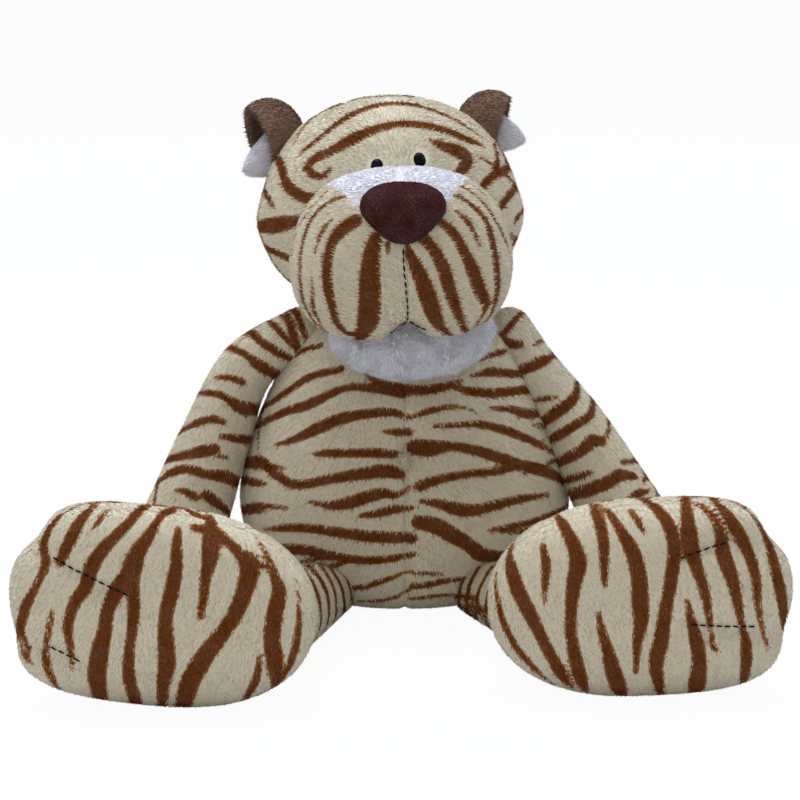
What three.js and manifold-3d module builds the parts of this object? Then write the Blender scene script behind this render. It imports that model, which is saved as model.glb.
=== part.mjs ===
// A seated plush tiger with limp limbs, in millimetres. It faces -Y, +Z is up and +X is its own
// left side. The origin is the middle of its seat, on the surface that it sits on.
import * as THREE from 'three';
import { mergeVertices } from 'three/addons/utils/BufferGeometryUtils.js';
import Module from 'manifold-3d';

const wasm = await Module();
wasm.setup();

// Cloth, thread and clearances
const CLOTH_WALL = 2.4; // plush cloth with its pile pressed down
const THREAD_RADIUS = 0.8;
const FIT_GAP = 0.3; // between pieces that touch
const MOVE_GAP = 0.5; // between pieces that move past each other
const CHIN_GAP = 5; // between the chin and the chest that it turns over
const LIMB_GAP = 5.2; // between a limb and the body beside its socket
const ROOT_GAP = 2; // round the ball end of a limb where the cloth is sewn to it
const SEAT_GAP = 0.4; // between the ball end of a limb and the filling that carries it
const FLOOR_CUT = 0.5; // how deep a resting form is cut flat
const CUTTER_SIZE = 1000; // a cutter runs past the whole toy

// Body
const BODY_HEIGHT = 212;
const BODY_HALF_WIDTH = 119;
const BODY_FRONT_DEPTH = 86;
const BODY_BACK_DEPTH = 80;
const SEAT_PANEL_HALF_WIDTH = 54;
const SEAT_PANEL_HALF_DEPTH = 38;
const PELLET_BAG_HALF_WIDTH = 46;
const PELLET_BAG_HALF_DEPTH = 32;
const PELLET_BAG_HEIGHT = 24;
const TACK_RADIUS = 2.6;
const TACK_HEIGHT = 120;

// Neck and head. Places on the head are measured from the middle of the neck.
const NECK_OFFSET = -8;
const NECK_DEPTH = 2;
const NECK_HEIGHT = 204;
const NECK_RADIUS = 22;
const HEAD_HALF_WIDTH = 93;
const HEAD_HALF_DEPTH = 74;
const HEAD_HEIGHT = 141;
const HEAD_BASE = 14;
const CROWN_HALF_WIDTH = 27;
const CROWN_FOOT = 70;
const HEAD_YAW = 4.5; // degrees, towards its own left
const HEAD_ROLL = -1.5; // degrees, its own left ear higher

// Muzzle, nose and chin
const MUZZLE_HALF_WIDTH = 73;
const MUZZLE_HEIGHT = 112;
const MUZZLE_BASE = 9;
const MUZZLE_FORWARD = 95;
const MUZZLE_FRONT_DEPTH = 54;
const MUZZLE_BACK_DEPTH = 50;
const CLEFT_RISE = 13;
const CLEFT_WIDTH = 13;
const CREASE_DEPTH = 6;
const CLEFT_TOP_SHARE = 0.6;
const BRIDGE_HALF_WIDTH = 30; // at its lower edge
const BRIDGE_FOOT = 104; // where its edge passes behind the nose
const BRIDGE_BACK = 35; // from the muzzle's middle to that edge, towards the nose
const BRIDGE_TILT = 36; // degrees that the edge falls towards the head
const NOSE_HALF_WIDTH = 27;
const NOSE_HALF_HEIGHT = 20.5;
const NOSE_THICKNESS = 12;
const NOSE_OFFSET = -1;
const NOSE_HEIGHT = 101;
const CHIN_HALF_WIDTH = 54;
const CHIN_HALF_DEPTH = 46;
const CHIN_HALF_HEIGHT = 31;
const CHIN_OFFSET = 7.5;
const CHIN_FORWARD = 66;
const CHIN_HEIGHT = 4;
const MOUTH_TOP = 76;
const MOUTH_FOOT = 24;
const MOUTH_BEND_SHARE = 0.4;
const LIP_REACH = 17;
const LIP_TOP = 30;
const LIP_FOOT = 17;

// Eyes, each a domed button on a shank with a washer behind the cloth
const EYE_HALF_WIDTH = 5;
const EYE_HALF_HEIGHT = 6;
const EYE_DOME = 4.2;
const EYE_SPACING = 28.5;
const EYE_OFFSET = 2.3;
const EYE_HEIGHT = 117.5;
const EYE_STEP = 1.4; // how far its own left eye lies above that height and the other below
const SHANK_RADIUS = 1.8;
const SHANK_LENGTH = 12;
const WASHER_RADIUS = 6;
const WASHER_THICKNESS = 2;

// Ears, each a cup of plush with a pale lining
const EAR_HALF_HEIGHT = 27;
const EAR_HALF_WIDTH = 22;
const EAR_DEPTH = 20;
const EAR_SPACING = 149;
const EAR_OFFSET = -2;
const EAR_BACK = 18;
const EAR_HEIGHT = 127;
const EAR_WALL = 3;
const TUFT_LENGTH = 45;
const TUFT_RADIUS = 11;
const LEFT_TUFT_DROP = 2; // below the middle of the cup
const RIGHT_TUFT_DROP = 7;
const TUFT_SWELL_SHARE = 1.6;
const EAR_FOLD_SPACING = 131;
const EAR_FOLD_HEIGHT = 112;

// Arms
const SHOULDER_SPACING = 148;
const SHOULDER_DEPTH = -2;
const SHOULDER_HEIGHT = 192;
const SHOULDER_RADIUS = 17;
const PAW_RADIUS = 29.5;
const ARM_REACH = 94;
const ARM_FORWARD = 34;
const ARM_GATHER_RADIUS = 8;

// Legs
const HIP_SPACING = 114;
const HIP_FORWARD = 60;
const HIP_RADIUS = 27;
const ANKLE_RADIUS = 27;
const ANKLE_HEIGHT = 31;
const LEG_WAIST_RADIUS = 26.5;
const LEFT_ANKLE_OUT = 103;
const LEFT_ANKLE_FORWARD = 155;
const RIGHT_ANKLE_OUT = 95;
const RIGHT_ANKLE_FORWARD = 176;
const LEG_GATHER_RADIUS = 11;

// Feet, which stand on their side edge with the sole to the front
const FOOT_HALF_LENGTH = 97.5;
const FOOT_WIDTH = 130;
const SOLE_DEPTH = 26;
const INSTEP_DEPTH = 47;
const TOE_NOTCH = 9;
const LEFT_FOOT_OUT = 151;
const LEFT_FOOT_FORWARD = 196;
const RIGHT_FOOT_OUT = 153;
const RIGHT_FOOT_FORWARD = 212;
const LEFT_FOOT_ROLL = 3.2; // degrees, toes up
const RIGHT_FOOT_ROLL = 6.5;

// Tail
const TAIL_RADIUS = 12.5;
const TAIL_ROOT_DEPTH = 76;
const TAIL_ROOT_HEIGHT = 30;
const TAIL_REACH = 112;
const TAIL_SWAY = 52;
const TAIL_TIP_LENGTH = 42;
const TAIL_GATHER_RADIUS = 5.5;

// Profiles from bottom to top, as shares of a half width and of a height
const BODY_PROFILE_SHARES = [[0, 0], [0.3, 0], [0.54, 0.004], [0.78, 0.045], [0.92, 0.14], [1, 0.31],
  [0.953, 0.49], [0.836, 0.665], [0.647, 0.873], [0.5, 0.95], [0.28, 0.99], [0, 1]];
const HEAD_PROFILE_SHARES = [[0, 0], [0.42, 0.012], [0.68, 0.06], [0.86, 0.16], [0.965, 0.3], [1, 0.4],
  [0.972, 0.5], [0.865, 0.69], [0.69, 0.838], [0.465, 0.935], [0.23, 0.985], [0, 1]];
const WAIST_SHARE = 0.3; // how high the body is widest
const MUZZLE_PROFILE_SHARES = [[0, 0], [0.46, 0.02], [0.78, 0.09], [0.95, 0.24], [1, 0.42],
  [0.97, 0.58], [0.86, 0.77], [0.64, 0.91], [0.34, 0.98], [0, 1]];

// Radii along a limb, from its root to its end, as shares of the largest
const ARM_RADIUS_SHARES = [0.58, 0.63, 0.71, 0.82, 0.92, 1, 1];
const TAIL_RADIUS_SHARES = [1, 0.98, 0.98, 1, 1, 0.96];

// Routes of the limbs as shares of their reach: out to the side, forward and down
const LEFT_ARM_ROUTE_SHARES = [[0, 0, 0], [0.15, 0.06, 0.14], [0.485, 0.3, 0.4], [0.79, 0.6, 0.7],
  [1.1, 1, 1]];
const RIGHT_ARM_ROUTE_SHARES = [[0, 0, 0], [0.4, 0.1, 0.15], [0.66, 0.4, 0.47], [0.88, 0.72, 0.8],
  [1.04, 1, 1]];
const TAIL_ROUTE_SHARES = [[0, 0, 0], [0.1, 0.32, 0.7], [0.3, 0.6, 1], [0.62, 0.85, 1], [1, 1, 1]];

// Roundness of the forms: 2 is an ellipse and more is squarer
const TOE_SQUARENESS = 3.4;
const HEEL_SQUARENESS = 2.2;
const FOOT_EDGE_SHARE = 0.62;
const NOSE_EDGE_SHARE = 0.7;
const BRIDGE_FLARE_SHARE = 0.55; // how much wider each side gets for a rise
const NOSE_CORNER_SHARE = 0.06;
const CHIN_POINT_SHARE = 1.25; // how much narrower than an ellipse its lower half runs
const NOSE_CORNER_COUNT = 3;
const LIMB_CAP_SHARE = 0.25; // the share of a limb's rows in each of its round ends
const LEG_CAP_SHARE = 0.375;
const GATHER_FOLD_COUNT = 6;
const GATHER_FOLD_SHARE = 0.16;
const GATHER_MOUTH_SHARE = 4;
const SEAT_OPENING_SHARE = 0.25;
const TOE_NOTCHES = [[25, 1], [-16, 0.55]]; // degrees above the foot's own axis, share of the depth
const TOE_NOTCH_SPREAD_ANGLE = 11; // degrees
const EAR_MOUTH_SHARE = 0.45; // how far past its middle the ear's cup runs
const EAR_SET = { out: 0.94, forward: 0.24, down: 0.23 }; // the way an ear's mouth faces

// Stitches on a sole, as shares of the foot's half length and half width from its middle
const TOE_STITCH_SHARES = {
  left: { upper: [[0.54, 0.64], [0.39, 0.59], [0.24, 0.53]],
    lower: [[0.72, -0.25], [0.51, -0.2], [0.3, -0.15]] },
  right: { upper: [[0.71, 0.49], [0.45, 0.36], [0.19, 0.23]],
    lower: [[0.68, -0.41], [0.57, -0.46], [0.46, -0.51]] },
};

// Grids of the forms, in columns and rows
const BODY_GRID = [16, 10];
const ROOM_GRID = [12, 8];
const BODY_LINING_GRID = [8, 5];
const HEAD_GRID = [16, 9];
const HEAD_LINING_GRID = [8, 6];
const MUZZLE_GRID = [16, 8];
const MUZZLE_LINING_GRID = [8, 5];
const CHIN_GRID = [10, 6];
const CHIN_LINING_GRID = [6, 4];
const NOSE_GRID = [12, 6];
const EAR_GRID = [10, 6];
const EAR_LINING_GRID = [8, 5];
const ARM_GRID = [8, 9];
const ARM_LINING_GRID = [6, 5];
const LEG_GRID = [8, 7];
const LEG_LINING_GRID = [6, 5];
const FOOT_GRID = [20, 6];
const FOOT_LINING_GRID = [10, 4];
const TAIL_GRID = [8, 8];
const TAIL_LINING_GRID = [6, 6];
const GATHER_GRID = [12, 4];
const SOCKET_GRID = [8, 6];
const ROOT_GRID = [12, 8];
const SEAT_GRID = [16, 12];
const KNOT_GRID = [8, 4];
const EYE_GRID = [10, 6];
const BAG_GRID = [12, 6];
const BAR_SIDES = 6;
const RING_SIDES = 8;
const SEAT_SIDES = 12;
const SWING_SIDES = 8;
const THREAD_HALF_SIDES = 3;
const THREAD_STEPS = 4;

// Turns of the joints, in degrees, at which a piece is cut back from the larger one beside it
const NECK_TURN_ANGLES = [-25, 0, 25];
const NECK_NOD_ANGLES = [6];
const EAR_FOLD_ANGLES = [-15, 0, 20];
const HIP_SPLAY_ANGLES = [-12, 20];
const HIP_LIFT_ANGLES = [-12];

const CREAM = '#d9cda8';
const BROWN = '#7e4418';
const WHITE = '#e9e7ec';
const SIDES = { left: 1, right: -1 };

const cloth = (colour) => new THREE.MeshStandardMaterial({ color: colour, roughness: 0.95, metalness: 0 });
const plush = cloth(CREAM);
const earPlush = cloth(BROWN);
const palePlush = cloth(WHITE);
const noseFelt = cloth('#43191c');
const stuffingFibre = cloth('#efece4');
const pelletCloth = cloth('#c9c2b2');
const thread = new THREE.MeshStandardMaterial({ color: '#241c1a', roughness: 0.7, metalness: 0 });
const tackThread = new THREE.MeshStandardMaterial({ color: '#d6ceb4', roughness: 0.9, metalness: 0 });
const gloss = new THREE.MeshStandardMaterial({ color: '#0b0a0b', roughness: 0.12, metalness: 0 });
const washerPlastic = new THREE.MeshStandardMaterial({ color: '#dcdad2', roughness: 0.45, metalness: 0 });

const radians = THREE.MathUtils.degToRad;
const vector = (x, y, z) => new THREE.Vector3(x, y, z);

// One closed geometry with shared points, its faces turned out even where a form is mirrored
function closed(geometry) {
  geometry.deleteAttribute('normal');
  geometry.deleteAttribute('uv');
  const merged = mergeVertices(geometry);
  const index = merged.index.array;
  if (signedVolume(merged) < 0) {
    for (let i = 0; i < index.length; i += 3) [index[i], index[i + 1]] = [index[i + 1], index[i]];
  }
  return merged;
}

function signedVolume(geometry) {
  const corner = [vector(), vector(), vector()];
  const index = geometry.index.array;
  let volume = 0;
  for (let i = 0; i < index.length; i += 3) {
    corner.forEach((c, k) => c.fromBufferAttribute(geometry.attributes.position, index[i + k]));
    volume += corner[0].dot(corner[1].cross(corner[2]));
  }
  return volume;
}

// A soft form is a unit sphere whose points are placed one by one. place takes the share of a
// turn round the form and the share of the way from its bottom pole to its top pole.
function softForm([columns, rows], place) {
  const geometry = new THREE.SphereGeometry(1, columns, rows);
  const { position, uv } = geometry.attributes;
  for (let i = 0; i < position.count; i += 1) {
    const point = place(uv.getX(i), uv.getY(i));
    position.setXYZ(i, point.x, point.y, point.z);
  }
  return closed(geometry);
}

// The form with each point moved out along its normal, or in for a depth below zero
function offset(geometry, depth) {
  const result = geometry.clone();
  result.computeVertexNormals();
  const { position, normal } = result.attributes;
  for (let i = 0; i < position.count; i += 1) {
    const point = vector().fromBufferAttribute(position, i);
    point.addScaledVector(vector().fromBufferAttribute(normal, i), depth);
    position.setXYZ(i, point.x, point.y, point.z);
  }
  result.deleteAttribute('normal');
  return result;
}

function solid(geometry) {
  return new wasm.Manifold(new wasm.Mesh({
    numProp: 3,
    vertProperties: Float32Array.from(geometry.attributes.position.array),
    triVerts: Uint32Array.from(geometry.index.array),
  }));
}

const moved = (geometry, matrix) => geometry.clone().applyMatrix4(matrix);
const cut = (body, ...cutters) => cutters.reduce((rest, cutter) => rest.subtract(cutter), body);
const join = (...bodies) => bodies.reduce((whole, body) => whole.add(body));

// The cloth and the filling of a form: an outer face, a hollow one wall in, and a filling that fits
function stuffed(place, grid, liningGrid, matrix = new THREE.Matrix4(), wall = CLOTH_WALL) {
  const outer = moved(softForm(grid, place), matrix);
  const lining = moved(softForm(liningGrid, place), matrix);
  return {
    outer,
    grown: solid(offset(outer, FIT_GAP)),
    skin: solid(outer).subtract(solid(offset(lining, -wall))),
    filling: solid(offset(lining, -wall - FIT_GAP)),
  };
}

function ball(centre, radius, [columns, rows] = KNOT_GRID) {
  const geometry = new THREE.SphereGeometry(radius, columns, rows);
  geometry.translate(centre.x, centre.y, centre.z);
  return solid(closed(geometry));
}

// A ball with flat facets that has a ball of the given radius inside it with the gap all round
function socket(centre, radius, gap = MOVE_GAP, grid = SOCKET_GRID) {
  const [columns, rows] = grid;
  const facetShare = Math.cos(Math.PI / columns) * Math.cos(Math.PI / (2 * rows));
  return ball(centre, (radius + gap) / facetShare, grid);
}

// The hollow of a filling round a ball end. It fits closely at the back and opens the given way.
function seatHollow(centre, radius, opening) {
  const mouth = centre.clone().addScaledVector(opening.clone().normalize(), SEAT_OPENING_SHARE * radius);
  return join(socket(centre, radius, SEAT_GAP, SEAT_GRID), socket(mouth, radius, ROOT_GAP));
}

// A block that runs from a plane to the far side of the toy. side is the way it runs from the plane.
function halfSpace(axis, at, side) {
  const geometry = new THREE.BoxGeometry(CUTTER_SIZE, CUTTER_SIZE, CUTTER_SIZE);
  const centre = vector(0, 0, 0);
  centre[axis] = at + side * CUTTER_SIZE / 2;
  geometry.translate(centre.x, centre.y, centre.z);
  return solid(closed(geometry));
}

// A round bar from one point to another
function bar(from, to, radius) {
  const geometry = new THREE.CylinderGeometry(radius, radius, from.distanceTo(to), BAR_SIDES);
  const turn = new THREE.Quaternion().setFromUnitVectors(vector(0, 1, 0), to.clone().sub(from).normalize());
  geometry.applyQuaternion(turn);
  const middle = from.clone().lerp(to, 0.5);
  geometry.translate(middle.x, middle.y, middle.z);
  return solid(closed(geometry));
}

// A thread laid along points
function threadAlong(points, radius) {
  const section = new THREE.Shape();
  section.absarc(0, 0, radius, 0, 2 * Math.PI);
  const geometry = new THREE.ExtrudeGeometry(section, {
    steps: THREAD_STEPS, curveSegments: THREAD_HALF_SIDES, extrudePath: new THREE.CatmullRomCurve3(points),
  });
  return solid(closed(geometry));
}

// The first point of a form on the line from a place, and the form's normal there
function surfaceHit(geometry, from, direction) {
  const caster = new THREE.Raycaster(from, direction.clone().normalize());
  const [hit] = caster.intersectObject(new THREE.Mesh(geometry));
  return { point: hit.point, normal: hit.face.normal.clone() };
}

// The room that a larger body takes up as seen from a piece that turns about a centre, about one
// axis and then about the next, through each pair of their steps in degrees
function roomSeenFrom(body, centre, [axis, steps], [nextAxis, nextSteps], frame = new THREE.Matrix4()) {
  const there = new THREE.Matrix4().makeTranslation(centre.x, centre.y, centre.z);
  const turned = (about, step) => new THREE.Matrix4().makeRotationAxis(about, radians(step));
  return join(...steps.flatMap((step) => nextSteps.map((nextStep) => {
    const travel = there.clone().multiply(turned(axis, step)).multiply(turned(nextAxis, nextStep))
      .multiply(there.clone().invert());
    return body.transform(frame.clone().multiply(travel.invert()).elements);
  })));
}

function profileOf(shares) {
  const curve = new THREE.SplineCurve(shares.map(([out, up]) => new THREE.Vector2(out, up)));
  return (rise) => curve.getPointAt(rise);
}

// A limb swells and tapers along a route and has a round end at each side
function limbPlace(route, radiusAt, capShare = LIMB_CAP_SHARE, level = vector(0, 0, 1)) {
  return (turn, rise) => {
    const rootRadius = radiusAt(0);
    const endRadius = radiusAt(1);
    let along = (rise - capShare) / (1 - 2 * capShare);
    let radius = radiusAt(THREE.MathUtils.clamp(along, 0, 1));
    let past = 0;
    if (along < 0) {
      const arc = (rise / capShare) * Math.PI / 2;
      radius = rootRadius * Math.sin(arc);
      past = -rootRadius * Math.cos(arc);
      along = 0;
    } else if (along > 1) {
      const arc = ((1 - rise) / capShare) * Math.PI / 2;
      radius = endRadius * Math.sin(arc);
      past = endRadius * Math.cos(arc);
      along = 1;
    }
    const ahead = route.getTangentAt(along);
    const across = level.clone().cross(ahead).normalize();
    const up = ahead.clone().cross(across);
    const angle = 2 * Math.PI * turn;
    return route.getPointAt(along)
      .addScaledVector(ahead, past)
      .addScaledVector(across, radius * Math.cos(angle))
      .addScaledVector(up, radius * Math.sin(angle));
  };
}

function sharedRadius(shares, radius) {
  const last = shares.length - 1;
  return (along) => {
    const first = Math.min(Math.floor(along * last), last - 1);
    return radius * THREE.MathUtils.lerp(shares[first], shares[first + 1], along * last - first);
  };
}

// The gathered bunch of cloth and thread that a limb is sewn on by
function gather(centre, radius) {
  return solid(softForm(GATHER_GRID, (turn, rise) => {
    const fold = 1 - GATHER_FOLD_SHARE * (1 - Math.cos(GATHER_FOLD_COUNT * 2 * Math.PI * turn)) / 2;
    const out = radius * Math.sin(Math.PI * rise) * fold;
    return vector(out * Math.cos(2 * Math.PI * turn), out * Math.sin(2 * Math.PI * turn),
      -radius * Math.cos(Math.PI * rise)).add(centre);
  }));
}

// The hole of a limb that its gather comes out by, towards the piece that it is sewn to
function gatherMouth(centre, radius, towards) {
  return bar(centre, centre.clone().addScaledVector(towards.clone().normalize(), GATHER_MOUTH_SHARE * radius),
    radius);
}

const toy = new THREE.Group();

// One named mesh in a group, from a solid in that group's own frame
function addPiece(group, name, body, material) {
  const { vertProperties, triVerts } = body.getMesh();
  const geometry = new THREE.BufferGeometry();
  geometry.setAttribute('position', new THREE.BufferAttribute(vertProperties, 3));
  geometry.setIndex(new THREE.BufferAttribute(triVerts, 1));
  const mesh = new THREE.Mesh(geometry, material);
  mesh.name = name;
  group.add(mesh);
}

const floor = halfSpace('z', 0, -1);
const leftHalf = halfSpace('x', FIT_GAP / 2, 1);
const rightHalf = halfSpace('x', -FIT_GAP / 2, -1);

// Places of the joints
const neck = vector(NECK_OFFSET, NECK_DEPTH, NECK_HEIGHT);
const tailRoot = vector(0, TAIL_ROOT_DEPTH, TAIL_ROOT_HEIGHT);
const shoulder = (side) => vector(side * SHOULDER_SPACING / 2, SHOULDER_DEPTH, SHOULDER_HEIGHT);
const hip = (side) => vector(side * HIP_SPACING / 2, -HIP_FORWARD, HIP_RADIUS - FLOOR_CUT);
const ankle = (side) => (side > 0
  ? vector(LEFT_ANKLE_OUT, -LEFT_ANKLE_FORWARD, ANKLE_HEIGHT)
  : vector(-RIGHT_ANKLE_OUT, -RIGHT_ANKLE_FORWARD, ANKLE_HEIGHT));

const armDirection = (side) => vector(side * ARM_REACH, 0, -SHOULDER_HEIGHT / 4);
const legDirection = (side) => ankle(side).sub(hip(side));

// Body
const bodyProfile = profileOf(BODY_PROFILE_SHARES);

function placeBody(turn, rise) {
  const at = bodyProfile(rise);
  const across = Math.cos(2 * Math.PI * turn);
  const along = Math.sin(2 * Math.PI * turn);
  const depth = along < 0 ? BODY_FRONT_DEPTH : BODY_BACK_DEPTH;
  const up = at.y * (BODY_HEIGHT + FLOOR_CUT) - FLOOR_CUT;
  return vector(at.x * BODY_HALF_WIDTH * across, at.x * depth * along, up);
}

const bodyRoom = (gap) => solid(offset(softForm(ROOM_GRID, placeBody), gap));

function seatPanelColumn(grow) {
  const geometry = new THREE.CylinderGeometry(SEAT_PANEL_HALF_WIDTH + grow, SEAT_PANEL_HALF_WIDTH + grow,
    PELLET_BAG_HEIGHT, SEAT_SIDES);
  geometry.rotateX(Math.PI / 2);
  geometry.scale(1, (SEAT_PANEL_HALF_DEPTH + grow) / (SEAT_PANEL_HALF_WIDTH + grow), 1);
  return solid(closed(geometry));
}

function pelletBagForm() {
  return softForm(BAG_GRID, (turn, rise) => {
    const out = Math.sin(Math.PI * rise) ** FOOT_EDGE_SHARE;
    const up = CLOTH_WALL + FIT_GAP + PELLET_BAG_HEIGHT * (1 - Math.cos(Math.PI * rise)) / 2;
    return vector(PELLET_BAG_HALF_WIDTH * out * Math.cos(2 * Math.PI * turn),
      PELLET_BAG_HALF_DEPTH * out * Math.sin(2 * Math.PI * turn), up);
  });
}

function addBody(group) {
  const form = stuffed(placeBody, BODY_GRID, BODY_LINING_GRID);
  const sockets = join(
    socket(neck, NECK_RADIUS),
    socket(shoulder(1), SHOULDER_RADIUS, ROOT_GAP),
    socket(shoulder(-1), SHOULDER_RADIUS, ROOT_GAP),
    socket(hip(1), HIP_RADIUS, ROOT_GAP),
    socket(hip(-1), HIP_RADIUS, ROOT_GAP),
    socket(tailRoot, TAIL_RADIUS, ROOT_GAP),
  );
  const seats = join(
    socket(neck, NECK_RADIUS, SEAT_GAP, SEAT_GRID),
    seatHollow(shoulder(1), SHOULDER_RADIUS, armDirection(1)),
    seatHollow(shoulder(-1), SHOULDER_RADIUS, armDirection(-1)),
    seatHollow(hip(1), HIP_RADIUS, legDirection(1)),
    seatHollow(hip(-1), HIP_RADIUS, legDirection(-1)),
    seatHollow(tailRoot, TAIL_RADIUS, vector(0, 1, 0)),
  );
  const tackSeat = surfaceHit(form.outer, vector(0, -BODY_HALF_WIDTH, TACK_HEIGHT), vector(0, 1, 0)).point;
  const skin = cut(form.skin, floor, sockets, ball(tackSeat, TACK_RADIUS + FIT_GAP));
  const outside = skin.subtract(seatPanelColumn(FIT_GAP));
  addPiece(group, 'body_skin_left', outside.intersect(leftHalf), plush);
  addPiece(group, 'body_skin_right', outside.intersect(rightHalf), plush);
  addPiece(group, 'seat_panel', skin.intersect(seatPanelColumn(0)), plush);
  addPiece(group, 'belly_tack', ball(tackSeat, TACK_RADIUS), tackThread);
  const bag = pelletBagForm();
  const bagHollow = solid(offset(bag, FIT_GAP));
  addPiece(group, 'seat_pellet_bag', solid(bag), pelletCloth);
  const underBag = solid(closed(new THREE.CylinderGeometry(PELLET_BAG_HALF_DEPTH, PELLET_BAG_HALF_DEPTH,
    PELLET_BAG_HEIGHT, SEAT_SIDES).rotateX(Math.PI / 2)));
  const filling = cut(form.filling, seats, bagHollow, underBag,
    ball(tackSeat, TACK_RADIUS + FIT_GAP));
  addPiece(group, 'body_stuffing', filling, stuffingFibre);
}

// Neck, a short stuffed bunch between the body and the head
function addNeck(group) {
  addPiece(group, 'neck_gather', gather(neck, NECK_RADIUS), plush);
}

// Head, in the frame of the neck
const headProfile = profileOf(HEAD_PROFILE_SHARES);
const muzzleProfile = profileOf(MUZZLE_PROFILE_SHARES);
const headPlace = new THREE.Matrix4().compose(neck,
  new THREE.Quaternion().setFromEuler(new THREE.Euler(0, radians(HEAD_ROLL), radians(HEAD_YAW), 'ZYX')),
  vector(1, 1, 1));

function placeHead(turn, rise) {
  const at = headProfile(rise);
  return vector(at.x * HEAD_HALF_WIDTH * Math.cos(2 * Math.PI * turn),
    at.x * HEAD_HALF_DEPTH * Math.sin(2 * Math.PI * turn), HEAD_BASE + at.y * HEAD_HEIGHT);
}

function placeMuzzle(turn, rise) {
  const at = muzzleProfile(rise);
  const along = Math.sin(2 * Math.PI * turn);
  const x = at.x * MUZZLE_HALF_WIDTH * Math.cos(2 * Math.PI * turn);
  const cleft = Math.exp(-((x / CLEFT_WIDTH) ** 2));
  const low = Math.max(0, 1 - at.y / CLEFT_TOP_SHARE);
  const crease = CREASE_DEPTH * cleft * Math.sqrt(low) * at.x * Math.max(0, -along);
  const depth = along < 0 ? MUZZLE_FRONT_DEPTH : MUZZLE_BACK_DEPTH;
  return vector(x, at.x * depth * along - MUZZLE_FORWARD + crease,
    MUZZLE_BASE + at.y * MUZZLE_HEIGHT + CLEFT_RISE * cleft * low * low);
}

function placeChin(turn, rise) {
  const out = Math.sin(Math.PI * rise) ** (rise < 0.5 ? CHIN_POINT_SHARE : 1);
  return vector(CHIN_OFFSET + CHIN_HALF_WIDTH * out * Math.cos(2 * Math.PI * turn),
    -CHIN_FORWARD + CHIN_HALF_DEPTH * out * Math.sin(2 * Math.PI * turn),
    CHIN_HEIGHT - CHIN_HALF_HEIGHT * Math.cos(Math.PI * rise));
}

// A block round the crown gusset, which runs over the head from the muzzle to the nape
function crownBlock(grow) {
  const geometry = new THREE.BoxGeometry(2 * (CROWN_HALF_WIDTH + grow), CUTTER_SIZE, CUTTER_SIZE);
  geometry.translate(0, 0, CROWN_FOOT - grow + CUTTER_SIZE / 2);
  return solid(closed(geometry));
}

function bridgeBlock(grow) {
  const geometry = new THREE.BoxGeometry(2 * (BRIDGE_HALF_WIDTH + grow), CUTTER_SIZE, CUTTER_SIZE);
  const at = geometry.attributes.position;
  const flare = 1 + BRIDGE_FLARE_SHARE * CUTTER_SIZE / (BRIDGE_HALF_WIDTH + grow);
  for (let i = 0; i < at.count; i += 1) if (at.getZ(i) > 0) at.setX(i, at.getX(i) * flare);
  geometry.translate(NOSE_OFFSET, 0, CUTTER_SIZE / 2 - grow);
  geometry.rotateX(-radians(BRIDGE_TILT));
  geometry.translate(0, -MUZZLE_FORWARD - BRIDGE_BACK, BRIDGE_FOOT);
  return solid(closed(geometry));
}

// A form built along +Z, turned to stand on a surface with its own +Y pointing up the surface
function standOn(geometry, seat) {
  const out = seat.normal.clone().normalize();
  const across = vector(0, 0, 1).cross(out).normalize();
  const up = out.clone().cross(across);
  const frame = new THREE.Matrix4().makeBasis(across, up, out).setPosition(seat.point);
  return moved(geometry, frame);
}

function noseForm() {
  return softForm(NOSE_GRID, (turn, rise) => {
    const angle = 2 * Math.PI * turn;
    const corner = 1 + NOSE_CORNER_SHARE * Math.sin(NOSE_CORNER_COUNT * angle);
    const out = corner * Math.sin(Math.PI * rise) ** NOSE_EDGE_SHARE;
    return vector(NOSE_HALF_WIDTH * out * Math.cos(angle), NOSE_HALF_HEIGHT * out * Math.sin(angle),
      -NOSE_THICKNESS * Math.cos(Math.PI * rise));
  });
}

function eyeForm() {
  const geometry = new THREE.SphereGeometry(1, ...EYE_GRID);
  geometry.scale(EYE_HALF_WIDTH, EYE_HALF_HEIGHT, EYE_DOME);
  return closed(geometry);
}

function washerForm(radius, bore, thickness) {
  const half = thickness / 2;
  const profile = [[bore, -half], [radius, -half], [radius, half], [bore, half], [bore, -half]];
  const geometry = new THREE.LatheGeometry(profile.map(([x, y]) => new THREE.Vector2(x, y)), RING_SIDES);
  return closed(geometry);
}

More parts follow.
